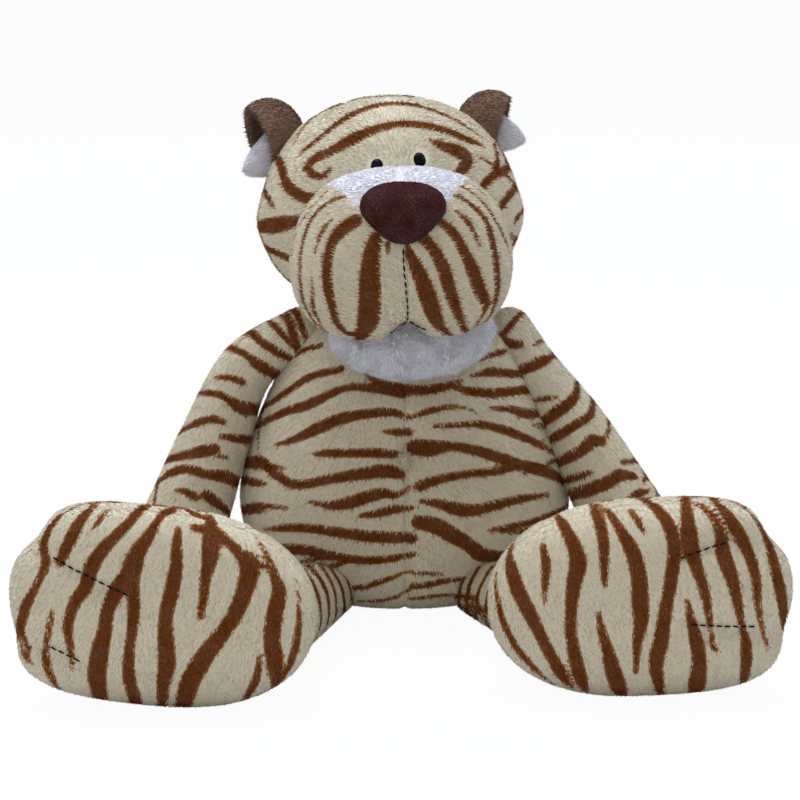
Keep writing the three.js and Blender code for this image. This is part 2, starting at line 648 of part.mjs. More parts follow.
function addHead(group) {
  const head = stuffed(placeHead, HEAD_GRID, HEAD_LINING_GRID);
  const muzzle = stuffed(placeMuzzle, MUZZLE_GRID, MUZZLE_LINING_GRID);
  const chin = stuffed(placeChin, CHIN_GRID, CHIN_LINING_GRID);
  const forward = vector(0, 1, 0);

  let headSkin = head.skin.subtract(socket(vector(0, 0, 0), NECK_RADIUS));
  let headFilling = head.filling.subtract(socket(vector(0, 0, 0), NECK_RADIUS, SEAT_GAP, SEAT_GRID));
  for (const [name, side] of Object.entries(SIDES)) {
    const front = vector(EYE_OFFSET + side * EYE_SPACING / 2, -2 * HEAD_HALF_DEPTH,
      EYE_HEIGHT + side * EYE_STEP);
    const seat = surfaceHit(head.outer, front, forward);
    const inward = (depth) => seat.point.clone().addScaledVector(seat.normal, -depth);
    const dome = solid(standOn(eyeForm(), seat)).subtract(head.grown);
    const eye = join(dome, bar(inward(-EYE_DOME / 2), inward(SHANK_LENGTH), SHANK_RADIUS));
    const washerSeat = { point: inward(CLOTH_WALL + FIT_GAP + WASHER_THICKNESS), normal: seat.normal };
    const washer = moved(washerForm(WASHER_RADIUS, SHANK_RADIUS + FIT_GAP, WASHER_THICKNESS),
      new THREE.Matrix4().makeRotationX(Math.PI / 2));
    const room = moved(washerForm(WASHER_RADIUS + FIT_GAP, SHANK_RADIUS, WASHER_THICKNESS + 2 * FIT_GAP),
      new THREE.Matrix4().makeRotationX(Math.PI / 2));
    const hole = bar(inward(-EYE_DOME), inward(SHANK_LENGTH + FIT_GAP), SHANK_RADIUS + FIT_GAP);
    const washerRoom = solid(standOn(room, washerSeat));
    headSkin = cut(headSkin, hole, washerRoom);
    headFilling = cut(headFilling, hole, washerRoom);
    addPiece(group, `eye_${name}`, eye, gloss);
    addPiece(group, `eye_washer_${name}`, solid(standOn(washer, washerSeat)), washerPlastic);
  }
  addPiece(group, 'head_crown', headSkin.intersect(crownBlock(0)), plush);
  addPiece(group, 'head_side_left', cut(headSkin.intersect(leftHalf), crownBlock(FIT_GAP)), plush);
  addPiece(group, 'head_side_right', cut(headSkin.intersect(rightHalf), crownBlock(FIT_GAP)), plush);
  addPiece(group, 'head_stuffing', headFilling, stuffingFibre);

  const onMuzzle = (x, z) => surfaceHit(muzzle.outer, vector(x, -3 * MUZZLE_FORWARD, z), forward);
  const noseSeat = onMuzzle(NOSE_OFFSET, NOSE_HEIGHT);
  const nose = solid(standOn(noseForm(), noseSeat)).subtract(muzzle.grown);
  const threads = {
    mouth_stitch: [0, MOUTH_BEND_SHARE, 1]
      .map((share) => [0, THREE.MathUtils.lerp(MOUTH_TOP, MOUTH_FOOT, share)]),
    lip_stitch_left: [[THREAD_RADIUS * 3, LIP_TOP], [LIP_REACH, LIP_FOOT]],
    lip_stitch_right: [[-THREAD_RADIUS * 3, LIP_TOP], [-LIP_REACH, LIP_FOOT]],
  };
  let muzzleSkin = muzzle.skin.subtract(head.grown);
  let muzzleFilling = muzzle.filling.subtract(head.grown);
  for (const [name, ends] of Object.entries(threads)) {
    const points = ends.map(([x, z]) => onMuzzle(x, z).point);
    const groove = threadAlong(points, THREAD_RADIUS + FIT_GAP);
    muzzleSkin = muzzleSkin.subtract(groove);
    muzzleFilling = muzzleFilling.subtract(groove);
    addPiece(group, name, threadAlong(points, THREAD_RADIUS), thread);
  }
  const bridge = bridgeBlock(FIT_GAP);
  addPiece(group, 'muzzle_bridge', muzzleSkin.intersect(bridgeBlock(0)), palePlush);
  addPiece(group, 'muzzle_cheek_left', cut(muzzleSkin.intersect(leftHalf), bridge), plush);
  addPiece(group, 'muzzle_cheek_right', cut(muzzleSkin.intersect(rightHalf), bridge), plush);
  addPiece(group, 'muzzle_stuffing', muzzleFilling, stuffingFibre);
  addPiece(group, 'nose_pad', nose, noseFelt);

  const shoulders = [1, -1].map((side) => socket(shoulder(side), SHOULDER_RADIUS, MOVE_GAP));
  const chest = roomSeenFrom(join(bodyRoom(CHIN_GAP), ...shoulders), neck,
    [vector(0, 0, 1), NECK_TURN_ANGLES], [vector(1, 0, 0), NECK_NOD_ANGLES], headPlace.clone().invert());
  addPiece(group, 'chin_skin', cut(chin.skin, head.grown, muzzle.grown, chest), palePlush);
  addPiece(group, 'chin_stuffing', cut(chin.filling, head.grown, muzzle.grown, chest), stuffingFibre);
  return head;
}

// Ears, in the frame of the neck. The cup is a rounded form opened by a plane across its mouth.
const earMouth = (side) => vector(side * EAR_SET.out, -EAR_SET.forward, -EAR_SET.down).normalize();
const earFold = (side) => vector(EAR_OFFSET + side * EAR_FOLD_SPACING / 2, EAR_BACK, EAR_FOLD_HEIGHT);

function earFrame(side) {
  const out = earMouth(side);
  const across = vector(0, 1, 0).cross(out).normalize();
  const up = out.clone().cross(across);
  const centre = vector(EAR_OFFSET + side * EAR_SPACING / 2, EAR_BACK, EAR_HEIGHT);
  return new THREE.Matrix4().makeBasis(across, up, out).setPosition(centre);
}

function placeEar(turn, rise) {
  const out = Math.sin(Math.PI * rise);
  return vector(EAR_HALF_HEIGHT * out * Math.cos(2 * Math.PI * turn),
    EAR_HALF_WIDTH * out * Math.sin(2 * Math.PI * turn), -EAR_DEPTH * Math.cos(Math.PI * rise));
}

function tuftForm() {
  return softForm(EAR_LINING_GRID, (turn, rise) => {
    const out = TUFT_RADIUS * Math.sin(Math.PI * rise) * (1 - rise * rise) * TUFT_SWELL_SHARE;
    return vector(out * Math.cos(2 * Math.PI * turn), out * Math.sin(2 * Math.PI * turn),
      EAR_WALL - EAR_DEPTH + TUFT_LENGTH * rise);
  });
}

function addEars(group, head) {
  for (const [name, side] of Object.entries(SIDES)) {
    const frame = earFrame(side);
    const form = softForm(EAR_GRID, placeEar);
    const liningForm = softForm(EAR_LINING_GRID, placeEar);
    const mouth = solid(moved(closed(new THREE.BoxGeometry(CUTTER_SIZE, CUTTER_SIZE, CUTTER_SIZE)
      .translate(0, 0, EAR_MOUTH_SHARE * EAR_DEPTH + CUTTER_SIZE / 2)), frame));
    const layer = (depth) => solid(moved(offset(liningForm, -depth), frame));
    const room = roomSeenFrom(solid(offset(head.outer, MOVE_GAP)), earFold(side),
      [vector(0, 1, 0), EAR_FOLD_ANGLES.map((step) => side * step)], [vector(1, 0, 0), [0]]);
    const back = cut(solid(moved(form, frame)), layer(EAR_WALL), mouth, room);
    const pad = cut(layer(EAR_WALL + FIT_GAP), mouth);
    const drop = side * (side > 0 ? LEFT_TUFT_DROP : RIGHT_TUFT_DROP);
    const tuft = cut(solid(moved(tuftForm().translate(drop, 0, 0), frame)), back);
    const lining = cut(join(pad, tuft), room);
    addPiece(group, `ear_back_${name}`, back, earPlush);
    addPiece(group, `ear_lining_${name}`, lining, palePlush);
  }
}

// Arms
function armRoute(side) {
  const shares = side > 0 ? LEFT_ARM_ROUTE_SHARES : RIGHT_ARM_ROUTE_SHARES;
  const drop = SHOULDER_HEIGHT - PAW_RADIUS + FLOOR_CUT;
  return new THREE.CatmullRomCurve3(shares.map(([out, forward, down]) => shoulder(side)
    .add(vector(side * out * ARM_REACH, -forward * ARM_FORWARD, -down * drop))));
}

// The room that the body takes up as seen from an arm that swings: its outline turned about the
// axis that runs through the shoulders
function swingRoom(side, gap) {
  const outline = BODY_PROFILE_SHARES
    .filter(([, up]) => up >= WAIST_SHARE && up * BODY_HEIGHT < SHOULDER_HEIGHT)
    .map(([out, up]) => [SHOULDER_HEIGHT - up * BODY_HEIGHT, out * BODY_HALF_WIDTH + gap]);
  outline.unshift([0, 0], [SHOULDER_HEIGHT, 0], [SHOULDER_HEIGHT, BODY_HALF_WIDTH + gap]);
  outline.push([0, outline[outline.length - 1][1]]);
  const last = outline.length - 1;
  return solid(softForm([SWING_SIDES, last], (turn, rise) => {
    const [out, across] = outline[Math.round(rise * last)];
    const angle = 2 * Math.PI * turn;
    return shoulder(side).setX(side * across).add(vector(0, out * Math.sin(angle), out * Math.cos(angle)));
  }));
}

function addArms(group) {
  for (const [name, side] of Object.entries(SIDES)) {
    const radiusAt = sharedRadius(ARM_RADIUS_SHARES, PAW_RADIUS);
    const place = limbPlace(armRoute(side), radiusAt, LIMB_CAP_SHARE, vector(0, 1, 0));
    const form = stuffed(place, ARM_GRID, ARM_LINING_GRID);
    const mouth = gatherMouth(shoulder(side), ARM_GATHER_RADIUS, vector(-side, 0, 0));
    const seat = socket(shoulder(side), ARM_GATHER_RADIUS, SEAT_GAP, SEAT_GRID);
    addPiece(group, `shoulder_gather_${name}`, gather(shoulder(side), ARM_GATHER_RADIUS), plush);
    const rootBall = socket(shoulder(side), SHOULDER_RADIUS, FIT_GAP, ROOT_GRID);
    const roomOf = (gap) => cut(swingRoom(side, gap), rootBall);
    const fillingRoom = roomOf(LIMB_GAP + CLOTH_WALL + FIT_GAP);
    addPiece(group, `arm_skin_${name}`, cut(form.skin, floor, mouth, roomOf(LIMB_GAP)), plush);
    addPiece(group, `arm_stuffing_${name}`, cut(form.filling, mouth, seat, fillingRoom), stuffingFibre);
  }
}

// Legs
function legRadius(along) {
  const ends = THREE.MathUtils.lerp(HIP_RADIUS, ANKLE_RADIUS, along);
  return ends - (ends - LEG_WAIST_RADIUS) * Math.sin(Math.PI * along) ** 2;
}

function addLegs(group) {
  for (const [name, side] of Object.entries(SIDES)) {
    const route = new THREE.LineCurve3(hip(side), ankle(side));
    const form = stuffed(limbPlace(route, legRadius, LEG_CAP_SHARE), LEG_GRID, LEG_LINING_GRID);
    const mouth = gatherMouth(hip(side), LEG_GATHER_RADIUS, vector(-side, 1, 1));
    const seat = socket(hip(side), LEG_GATHER_RADIUS, SEAT_GAP, SEAT_GRID);
    addPiece(group, `hip_gather_${name}`, gather(hip(side), LEG_GATHER_RADIUS), plush);
    const roomOf = (gap) => cut(roomSeenFrom(bodyRoom(gap), hip(side),
      [vector(0, 0, side), HIP_SPLAY_ANGLES], [vector(1, 0, 0), HIP_LIFT_ANGLES]),
    socket(hip(side), HIP_RADIUS, FIT_GAP, ROOT_GRID));
    const fillingRoom = roomOf(LIMB_GAP + CLOTH_WALL + FIT_GAP);
    addPiece(group, `leg_skin_${name}`, cut(form.skin, floor, mouth, roomOf(LIMB_GAP)), plush);
    addPiece(group, `leg_stuffing_${name}`, cut(form.filling, mouth, seat, fillingRoom), stuffingFibre);
  }
}

// Feet. A foot's own frame has +X to the toes, +Y up and +Z out of the sole.
function placeFoot(turn, rise) {
  const angle = 2 * Math.PI * turn;
  const half = [FOOT_HALF_LENGTH, FOOT_WIDTH / 2];
  const squareness = Math.cos(angle) > 0 ? TOE_SQUARENESS : HEEL_SQUARENESS;
  const outline = (Math.abs(Math.cos(angle) / half[0]) ** squareness
    + Math.abs(Math.sin(angle) / half[1]) ** squareness) ** (-1 / squareness);
  const degrees = THREE.MathUtils.radToDeg(angle > Math.PI ? angle - 2 * Math.PI : angle);
  const notch = TOE_NOTCHES.reduce((sum, [at, share]) => sum
    + share * Math.exp(-(((degrees - at) / TOE_NOTCH_SPREAD_ANGLE) ** 2)), 0);
  const edge = Math.sin(Math.PI * rise) ** FOOT_EDGE_SHARE;
  const reach = (outline - TOE_NOTCH * notch) * edge;
  const along = -Math.cos(Math.PI * rise);
  const depth = along < 0 ? INSTEP_DEPTH : SOLE_DEPTH;
  return vector(reach * Math.cos(angle), reach * Math.sin(angle), depth * along);
}

function footFrame(side) {
  const out = side > 0 ? LEFT_FOOT_OUT : RIGHT_FOOT_OUT;
  const forward = side > 0 ? LEFT_FOOT_FORWARD : RIGHT_FOOT_FORWARD;
  const centre = vector(side * out, -forward, FOOT_WIDTH / 2 - FLOOR_CUT);
  const roll = radians(side > 0 ? LEFT_FOOT_ROLL : RIGHT_FOOT_ROLL);
  const toes = vector(side * Math.cos(roll), 0, Math.sin(roll));
  const up = vector(-side * Math.sin(roll), 0, Math.cos(roll));
  return new THREE.Matrix4().makeBasis(toes, up, vector(0, -1, 0)).setPosition(centre);
}

function addFeet(group) {
  for (const [name, side] of Object.entries(SIDES)) {
    const frame = footFrame(side);
    const centre = vector().setFromMatrixPosition(frame);
    const form = stuffed(placeFoot, FOOT_GRID, FOOT_LINING_GRID);
    const place = (geometry) => closed(moved(geometry, frame));
    const outer = place(form.outer);
    const lining = softForm(FOOT_LINING_GRID, placeFoot);
    const ankleSocket = socket(ankle(side), ANKLE_RADIUS, ROOT_GAP);
    let skin = cut(solid(outer), solid(place(offset(lining, -CLOTH_WALL))), floor, ankleSocket);
    for (const [row, shares] of Object.entries(TOE_STITCH_SHARES[name])) {
      const points = shares.map(([out, up]) => surfaceHit(outer,
        vector(out * FOOT_HALF_LENGTH, up * FOOT_WIDTH / 2, CUTTER_SIZE / 2).applyMatrix4(frame),
        vector(0, 1, 0)).point);
      skin = skin.subtract(threadAlong(points, THREAD_RADIUS + FIT_GAP));
      addPiece(group, `toe_stitch_${row}_${name}`, threadAlong(points, THREAD_RADIUS), thread);
    }
    addPiece(group, `foot_sole_${name}`, skin.intersect(halfSpace('y', centre.y - FIT_GAP / 2, -1)), plush);
    addPiece(group, `foot_upper_${name}`, skin.intersect(halfSpace('y', centre.y + FIT_GAP / 2, 1)), plush);
    const filling = solid(place(offset(lining, -CLOTH_WALL - FIT_GAP)));
    const seat = seatHollow(ankle(side), ANKLE_RADIUS, legDirection(side).negate());
    addPiece(group, `foot_stuffing_${name}`, cut(filling, seat), stuffingFibre);
  }
}

// Tail, which lies on the floor behind the body
function addTail(group) {
  const drop = TAIL_ROOT_HEIGHT - TAIL_RADIUS + FLOOR_CUT;
  const route = new THREE.CatmullRomCurve3(TAIL_ROUTE_SHARES.map(([out, back, down]) => tailRoot.clone()
    .add(vector(out * TAIL_SWAY, back * TAIL_REACH, -down * drop))));
  const form = stuffed(limbPlace(route, sharedRadius(TAIL_RADIUS_SHARES, TAIL_RADIUS)), TAIL_GRID,
    TAIL_LINING_GRID);
  const mouth = gatherMouth(tailRoot, TAIL_GATHER_RADIUS, vector(0, -1, 0));
  const seat = socket(tailRoot, TAIL_GATHER_RADIUS, SEAT_GAP, SEAT_GRID);
  const skin = cut(form.skin, floor, mouth);
  const tipStart = 1 - TAIL_TIP_LENGTH / route.getLength();
  const tipBlock = (gap) => {
    const from = route.getPointAt(tipStart);
    const ahead = route.getTangentAt(tipStart);
    const geometry = new THREE.BoxGeometry(CUTTER_SIZE, CUTTER_SIZE, CUTTER_SIZE);
    geometry.translate(0, 0, gap + CUTTER_SIZE / 2);
    geometry.applyQuaternion(new THREE.Quaternion().setFromUnitVectors(vector(0, 0, 1), ahead));
    geometry.translate(from.x, from.y, from.z);
    return solid(closed(geometry));
  };
  addPiece(group, 'tail_gather', gather(tailRoot, TAIL_GATHER_RADIUS), plush);
  addPiece(group, 'tail_skin', cut(skin, tipBlock(0)), plush);
  addPiece(group, 'tail_tip', skin.intersect(tipBlock(FIT_GAP)), earPlush);
  addPiece(group, 'tail_stuffing', cut(form.filling, mouth, seat), stuffingFibre);
}

const headGroup = new THREE.Group();
headPlace.decompose(headGroup.position, headGroup.quaternion, headGroup.scale);
toy.add(headGroup);

addBody(toy);
addNeck(toy);
addEars(headGroup, addHead(headGroup));
addArms(toy);
addLegs(toy);
addFeet(toy);
addTail(toy);

export default toy;
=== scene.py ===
import math

import bmesh
import bpy
import numpy as np
from bpy.props import FloatProperty, FloatVectorProperty, IntProperty, PointerProperty
from bpy.types import Operator, Panel, PropertyGroup
from mathutils import Matrix, Vector, noise
from mathutils.bvhtree import BVHTree


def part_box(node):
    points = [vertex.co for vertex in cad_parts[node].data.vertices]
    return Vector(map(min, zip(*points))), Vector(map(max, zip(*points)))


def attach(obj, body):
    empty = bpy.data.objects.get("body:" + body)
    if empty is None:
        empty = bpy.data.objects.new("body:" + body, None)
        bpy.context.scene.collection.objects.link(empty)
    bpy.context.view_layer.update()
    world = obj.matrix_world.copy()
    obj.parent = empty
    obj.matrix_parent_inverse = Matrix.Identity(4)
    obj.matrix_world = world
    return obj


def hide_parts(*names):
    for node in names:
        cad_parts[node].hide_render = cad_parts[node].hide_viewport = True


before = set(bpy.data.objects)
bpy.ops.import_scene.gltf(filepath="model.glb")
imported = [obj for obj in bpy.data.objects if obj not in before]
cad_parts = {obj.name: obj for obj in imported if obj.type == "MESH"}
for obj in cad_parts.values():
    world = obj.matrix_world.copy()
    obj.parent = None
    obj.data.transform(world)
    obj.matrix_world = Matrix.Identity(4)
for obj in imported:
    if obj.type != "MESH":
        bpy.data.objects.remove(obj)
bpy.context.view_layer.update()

bl_info = {
    "name": "Plush Tiger",
    "version": (1, 0, 0),
    "blender": (4, 5, 0),
    "location": "3D View > Sidebar > Plush",
    "description": "Sews and dresses a sitting plush tiger with hinged limbs",
    "category": "Add Mesh",
}

MM = 0.001
SIDES = {"left": 1, "right": -1}
PICTURE = 800  # width and height of the picture in pixels


# Sizes and colours ------------------------------------------------------------------------

def length(name, description, default_mm, low=0.0, high=600.0):
    """A length property, given in millimetres and kept in metres."""
    return FloatProperty(name=name, description=description, default=default_mm * MM,
                         min=low * MM, max=high * MM, subtype="DISTANCE", unit="LENGTH")


def angle(name, description, default_degrees):
    """An angle property, given in degrees."""
    return FloatProperty(name=name, description=description, default=math.radians(default_degrees),
                         subtype="ANGLE", unit="ROTATION")


def share(name, description, default, low=0.0, high=2.0):
    """A share of another size."""
    return FloatProperty(name=name, description=description, default=default, min=low, max=high,
                         subtype="FACTOR")


def colour(name, description, default):
    """A colour in linear light."""
    return FloatVectorProperty(name=name, description=description, default=default, min=0, max=1,
                               size=3, subtype="COLOR")


class BodySizes(PropertyGroup):
    height: length("Height", "From the floor to the top of the body", 212)
    half_width: length("Half width", "From the middle to the widest side", 119)
    front_depth: length("Front depth", "From the middle to the belly", 86)
    back_depth: length("Back depth", "From the middle to the back", 80)
    seat_width: length("Seat panel half width", "Half the width of the panel under the body", 54)
    seat_depth: length("Seat panel half depth", "Half the depth of the panel under the body", 38)
    dimple_depth: length("Dimple depth", "How far the belly's tack pulls the seam in", 5)
    dimple_width: length("Dimple width", "How far the pull of the tack spreads", 15)
    dimple_height: length("Dimple height", "Height of the tack above the floor", 120)


class HeadSizes(PropertyGroup):
    half_width: length("Half width", "From the middle to the widest side", 93)
    half_depth: length("Half depth", "From the middle to the face", 74)
    height: length("Height", "From the neck seam to the top of the crown", 141)
    base: length("Base", "Height of the lowest point above the neck's pivot", 14)
    crown: length("Crown gusset half width", "Half the width of the panel over the head", 27)
    crown_foot: length("Crown gusset foot", "Height at which the gusset ends", 70)
    yaw: angle("Turn", "How far the head is turned to its own left", 4.5)
    roll: angle("Tilt", "How far the head leans", -1.5)
    neck_x: length("Neck across", "Place of the neck's pivot across", -8, low=-100)
    neck_y: length("Neck back", "Place of the neck's pivot to the back", 2, low=-100)
    neck_z: length("Neck height", "Height of the neck's pivot", 204)
    neck_radius: length("Neck radius", "Radius of the gathered neck", 22)


class MuzzleSizes(PropertyGroup):
    half_width: length("Half width", "From the middle to the side of the muzzle", 73)
    height: length("Height", "From the lips to the top of the bridge", 112)
    base: length("Base", "Height of the lips above the neck's pivot", 9)
    forward: length("Forward", "How far the muzzle's middle lies before the neck", 95)
    front_depth: length("Front depth", "From the muzzle's middle to its front", 54)
    back_depth: length("Back depth", "From the muzzle's middle to its back", 50)
    cleft_rise: length("Cleft rise", "How far the lips part under the nose", 13)
    cleft_width: length("Cleft width", "Width of the parting", 13)
    crease_depth: length("Crease depth", "How deep the mouth seam pulls the muzzle in", 6)
    bridge_half_width: length("Bridge half width", "Half the width of the white bridge at its foot", 30)
    bridge_flare: share("Bridge flare", "How much wider each side of the bridge gets for a rise", 0.55)
    bridge_foot: length("Bridge foot", "Height of the white bridge's edge at its front", 104)
    bridge_back: length("Bridge back", "From the muzzle's middle to that edge", 35)
    bridge_tilt: angle("Bridge tilt", "How far the white bridge's edge drops to the back", 36)
    chin_half_width: length("Chin half width", "From the middle to the side of the chin", 54)
    chin_half_depth: length("Chin half depth", "Half the depth of the chin", 46)
    chin_half_height: length("Chin half height", "Half the height of the chin", 31)
    chin_point: share("Chin point", "How pointed the chin's lower half is; 1 is round", 1.25)
    chin_offset: length("Chin offset", "How far the chin lies to the left", 7.5)
    chin_forward: length("Chin forward", "How far the chin lies before the neck", 66)
    chin_height: length("Chin height", "Height of the chin's middle over the pivot", 4)
    nose_taper: share("Nose taper", "How much the nose narrows to its lower corner", 0.16)
    nose_half_width: length("Nose half width", "Half the width of the nose", 27)
    nose_half_height: length("Nose half height", "Half the height of the nose", 20.5)
    nose_thickness: length("Nose thickness", "How far the nose pad stands out", 12)
    nose_offset: length("Nose offset", "How far the nose lies to the side", -1, low=-50)
    nose_height: length("Nose height", "Height of the nose over the neck's pivot", 101)


class EarSizes(PropertyGroup):
    half_height: length("Half height", "Half the height of an ear", 27)
    half_width: length("Half width", "Half the width of an ear", 22)
    depth: length("Depth", "Depth of the ear's cup", 24)
    wall: length("Wall", "Thickness of the ear's back", 3)
    spacing: length("Spacing", "Distance between the middles of the ears", 154)
    offset: length("Offset", "How far both ears lie to the left", -4.5, low=-50)
    back: length("Back", "How far the ears lie behind the neck", 18)
    height: length("Height", "Height of the ears over the neck's pivot", 127)
    tuft_length: length("Tuft length", "Length of the white tuft", 47)
    tuft_radius: length("Tuft radius", "Radius of the white tuft at its foot", 10.5)
    tuft_drop_left: length("Left tuft drop", "How far the left tuft lies below the middle of the cup", 2)
    tuft_drop_right: length("Right tuft drop", "How far the right tuft lies below the middle of the cup", 16)
    out: share("Out", "How far the ear's mouth turns to the side", 0.94)
    ahead_left: share("Left ahead", "How far the left ear's mouth turns to the front", 0.26)
    ahead_right: share("Right ahead", "How far the right ear's mouth turns to the front", 0.40)
    down: share("Down", "How far the ear's mouth turns to the floor", 0.23)
    mouth: share("Mouth", "How far past its middle the cup runs", 0.38)


class LimbSizes(PropertyGroup):
    shoulder_out: length("Shoulder out", "From the middle to a shoulder", 74)
    shoulder_back: length("Shoulder back", "Place of a shoulder to the back", -2, low=-50)
    shoulder_height: length("Shoulder height", "Height of a shoulder", 192)
    shoulder_radius: length("Shoulder radius", "Radius of a gathered shoulder end", 14)
    paw_radius: length("Paw radius", "Radius of an arm at its paw", 29.5)
    arm_reach: length("Arm reach", "How far the paws lie beside the shoulders", 94)
    arm_forward: length("Arm forward", "How far the paws lie before the shoulders", 34)
    hip_out: length("Hip out", "From the middle to a hip", 54)
    hip_forward: length("Hip forward", "How far a hip lies before the middle", 60)
    hip_height: length("Hip height", "Height of the middle of a leg at its hip", 20)
    hip_radius: length("Hip radius", "Radius of a leg at its hip", 20.5)
    ankle_radius: length("Ankle radius", "Radius of a leg at its ankle", 27)
    ankle_out_left: length("Left ankle out", "From the middle to the left ankle", 103)
    ankle_forward_left: length("Left ankle forward", "From the middle to the left ankle", 155)
    ankle_out_right: length("Right ankle out", "From the middle to the right ankle", 95)
    ankle_forward_right: length("Right ankle forward", "From the middle to the right ankle", 176)
    ankle_height: length("Ankle height", "Height of an ankle", 31)
    tail_back: length("Tail root back", "How far the tail's root lies behind the middle", 76)
    tail_height: length("Tail root height", "Height of the tail's root", 30)
    tail_radius: length("Tail radius", "Radius of the tail", 12.5)
    tail_reach: length("Tail reach", "How far the tail runs to the back", 112)
    tail_sway: length("Tail sway", "How far the tail curls to the side", 52)
    tail_tip: length("Tail tip", "Length of the brown tip", 42)


class FootSizes(PropertyGroup):
    half_length: length("Half length", "Half the length of a foot", 97.5)
    width: length("Width", "Width of a foot", 130)
    sole_depth: length("Sole depth", "How far the sole stands out", 26)
    instep_depth: length("Instep depth", "How far the back of the foot stands out", 47)
    notch: length("Toe notch", "How deep the stitches pull the toes in", 9)
    groove: share("Toe groove", "How far the stitches pull the sole in, as a share of its depth", 0.3)
    groove_width: length("Toe groove width", "Width of the grooves between the toes", 9)
    out_left: length("Left foot out", "From the middle to the left foot", 151)
    forward_left: length("Left foot forward", "From the middle to the left foot", 196)
    out_right: length("Right foot out", "From the middle to the right foot", 153)
    forward_right: length("Right foot forward", "From the middle to the right foot", 212)
    roll_left: angle("Left roll", "How far the left toes are turned up", 3.2)
    roll_right: angle("Right roll", "How far the right toes are turned up", 6.5)
    toe_squareness: FloatProperty(name="Toe squareness", description="How square the toes are",
                                  default=3.4, min=1.5, max=6)
    heel_squareness: FloatProperty(name="Heel squareness", description="How square the heel is",
                                   default=2.2, min=1.5, max=6)


class PileSizes(PropertyGroup):
    length: length("Pile length", "Length of a tuft of the body's pile", 2.8)
    foot: share("Foot pile", "Length of the pile on the feet, as a share of the body's", 0.75)
    width: length("Tuft width", "Width of a tuft", 0.8)
    chin: length("Chin pile length", "Length of a tuft on the chin", 5.5)
    ear: length("Ear pile length", "Length of a tuft on the white ear linings", 6)
    nose: length("Nose pile length", "Length of a tuft on the nose", 1.4)
    density: FloatProperty(name="Tufts", description="Tufts on a square metre of cloth",
                           default=620000, min=1000, max=2000000)
    lean: angle("Lean", "How far the pile leans from upright", 68)
    fuzz: length("Stripe fuzz", "How far the edge of a stripe frays", 2.3)
    spread: length("Stripe spread", "How far each stripe spreads past its drawn edge", .3)
    seed: IntProperty(name="Seed", description="Seed of the pile's scatter", default=7)
    skin: length("Cloth thickness", "Thickness of the plush's backing", 2.4)
    seam: length("Seam depth", "How deep a seam pulls the cloth in", 1.6)
    thread: length("Thread radius", "Radius of the sewing thread", 0.6)
    stitch: length("Stitch length", "Length of a stitch that shows", 4.6)
    stitch_gap: length("Stitch gap", "Gap between two stitches", 0.8)
    tack: length("Tack radius", "Radius of the tuft of fluff at the belly's tack", 3)


class Colours(PropertyGroup):
    cream: colour("Cream", "Ground of the striped plush", (0.56, 0.50, 0.36))
    cream_light: colour("Light cream", "Tips of the striped plush", (0.70, 0.645, 0.515))
    stripe: colour("Stripe", "Rust brown stripes", (0.085, 0.019, 0.003))
    stripe_light: colour("Light stripe", "Tips in the stripes", (0.20, 0.058, 0.008))
    stripe_edge: colour("Stripe edge", "Edge of the stripes, where cream mixes in", (0.33, 0.142, 0.040))
    white: colour("White", "White plush of bridge, chin and ear tufts", (0.66, 0.65, 0.70))
    white_light: colour("Light white", "Tips of the white plush", (0.79, 0.78, 0.83))
    brown: colour("Ear brown", "Brown plush of the ears and the tail's tip", (0.115, 0.062, 0.038))
    brown_light: colour("Light ear brown", "Tips of the brown plush", (0.26, 0.155, 0.105))
    nose: colour("Nose", "Dark burgundy nose", (0.021, 0.004, 0.003))
    nose_light: colour("Light nose", "Tips of the nose's plush", (0.076, 0.022, 0.017))
    thread: colour("Thread", "Black sewing thread", (0.006, 0.005, 0.005))
    eye: colour("Eye", "Black eyes", (0.004, 0.004, 0.005))


class CameraSizes(PropertyGroup):
    distance: length("Distance", "From the camera to the toy", 1500, high=5000)
    elevation: angle("Elevation", "How far the camera looks down", 16)
    aim: length("Aim height", "Height of the point that the camera looks at", 141)
    focal: FloatProperty(name="Focal length", description="In pixels of an 800 pixel picture",
                         default=2083, min=100)
    middle: FloatProperty(name="Middle column", description="Picture column of the toy's middle",
                          default=404.5)


class TigerSettings(PropertyGroup):
    body: PointerProperty(type=BodySizes)
    head: PointerProperty(type=HeadSizes)
    muzzle: PointerProperty(type=MuzzleSizes)
    ears: PointerProperty(type=EarSizes)
    limbs: PointerProperty(type=LimbSizes)
    feet: PointerProperty(type=FootSizes)
    pile: PointerProperty(type=PileSizes)
    colours: PointerProperty(type=Colours)
    camera: PointerProperty(type=CameraSizes)


def settings():
    return bpy.context.scene.plush_tiger


# Outlines: (out, up) shares of a form's half width and height ------------------------------

BODY_OUTLINE = [(0, 0), (.3, 0), (.54, .004), (.78, .045), (.92, .14), (1, .31), (.953, .49),
                (.836, .665), (.647, .873), (.5, .95), (.28, .99), (0, 1)]
HEAD_OUTLINE = [(0, 0), (.42, .012), (.68, .06), (.86, .16), (.965, .3), (1, .4), (.972, .5),
                (.865, .69), (.69, .838), (.465, .935), (.23, .985), (0, 1)]
MUZZLE_OUTLINE = [(0, 0), (.46, .02), (.78, .09), (.95, .24), (1, .42), (.97, .58), (.86, .77),
                  (.64, .91), (.34, .98), (0, 1)]
ARM_ROUTES = {"left": [(0, 0, 0), (.15, .06, .14), (.485, .3, .4), (.79, .6, .7), (1.1, 1, 1)],
              "right": [(0, 0, 0), (.4, .1, .15), (.66, .4, .47), (.88, .72, .8), (1.04, 1, 1)]}
ARM_RADII = [.58, .63, .71, .82, .92, 1, 1]
TAIL_ROUTE = [(0, 0, 0), (.1, .32, .7), (.3, .6, 1), (.62, .85, 1), (1, 1, 1)]
TAIL_RADII = [1, .98, .98, 1, 1, .96]
ARM_CAP_SHARE = .25
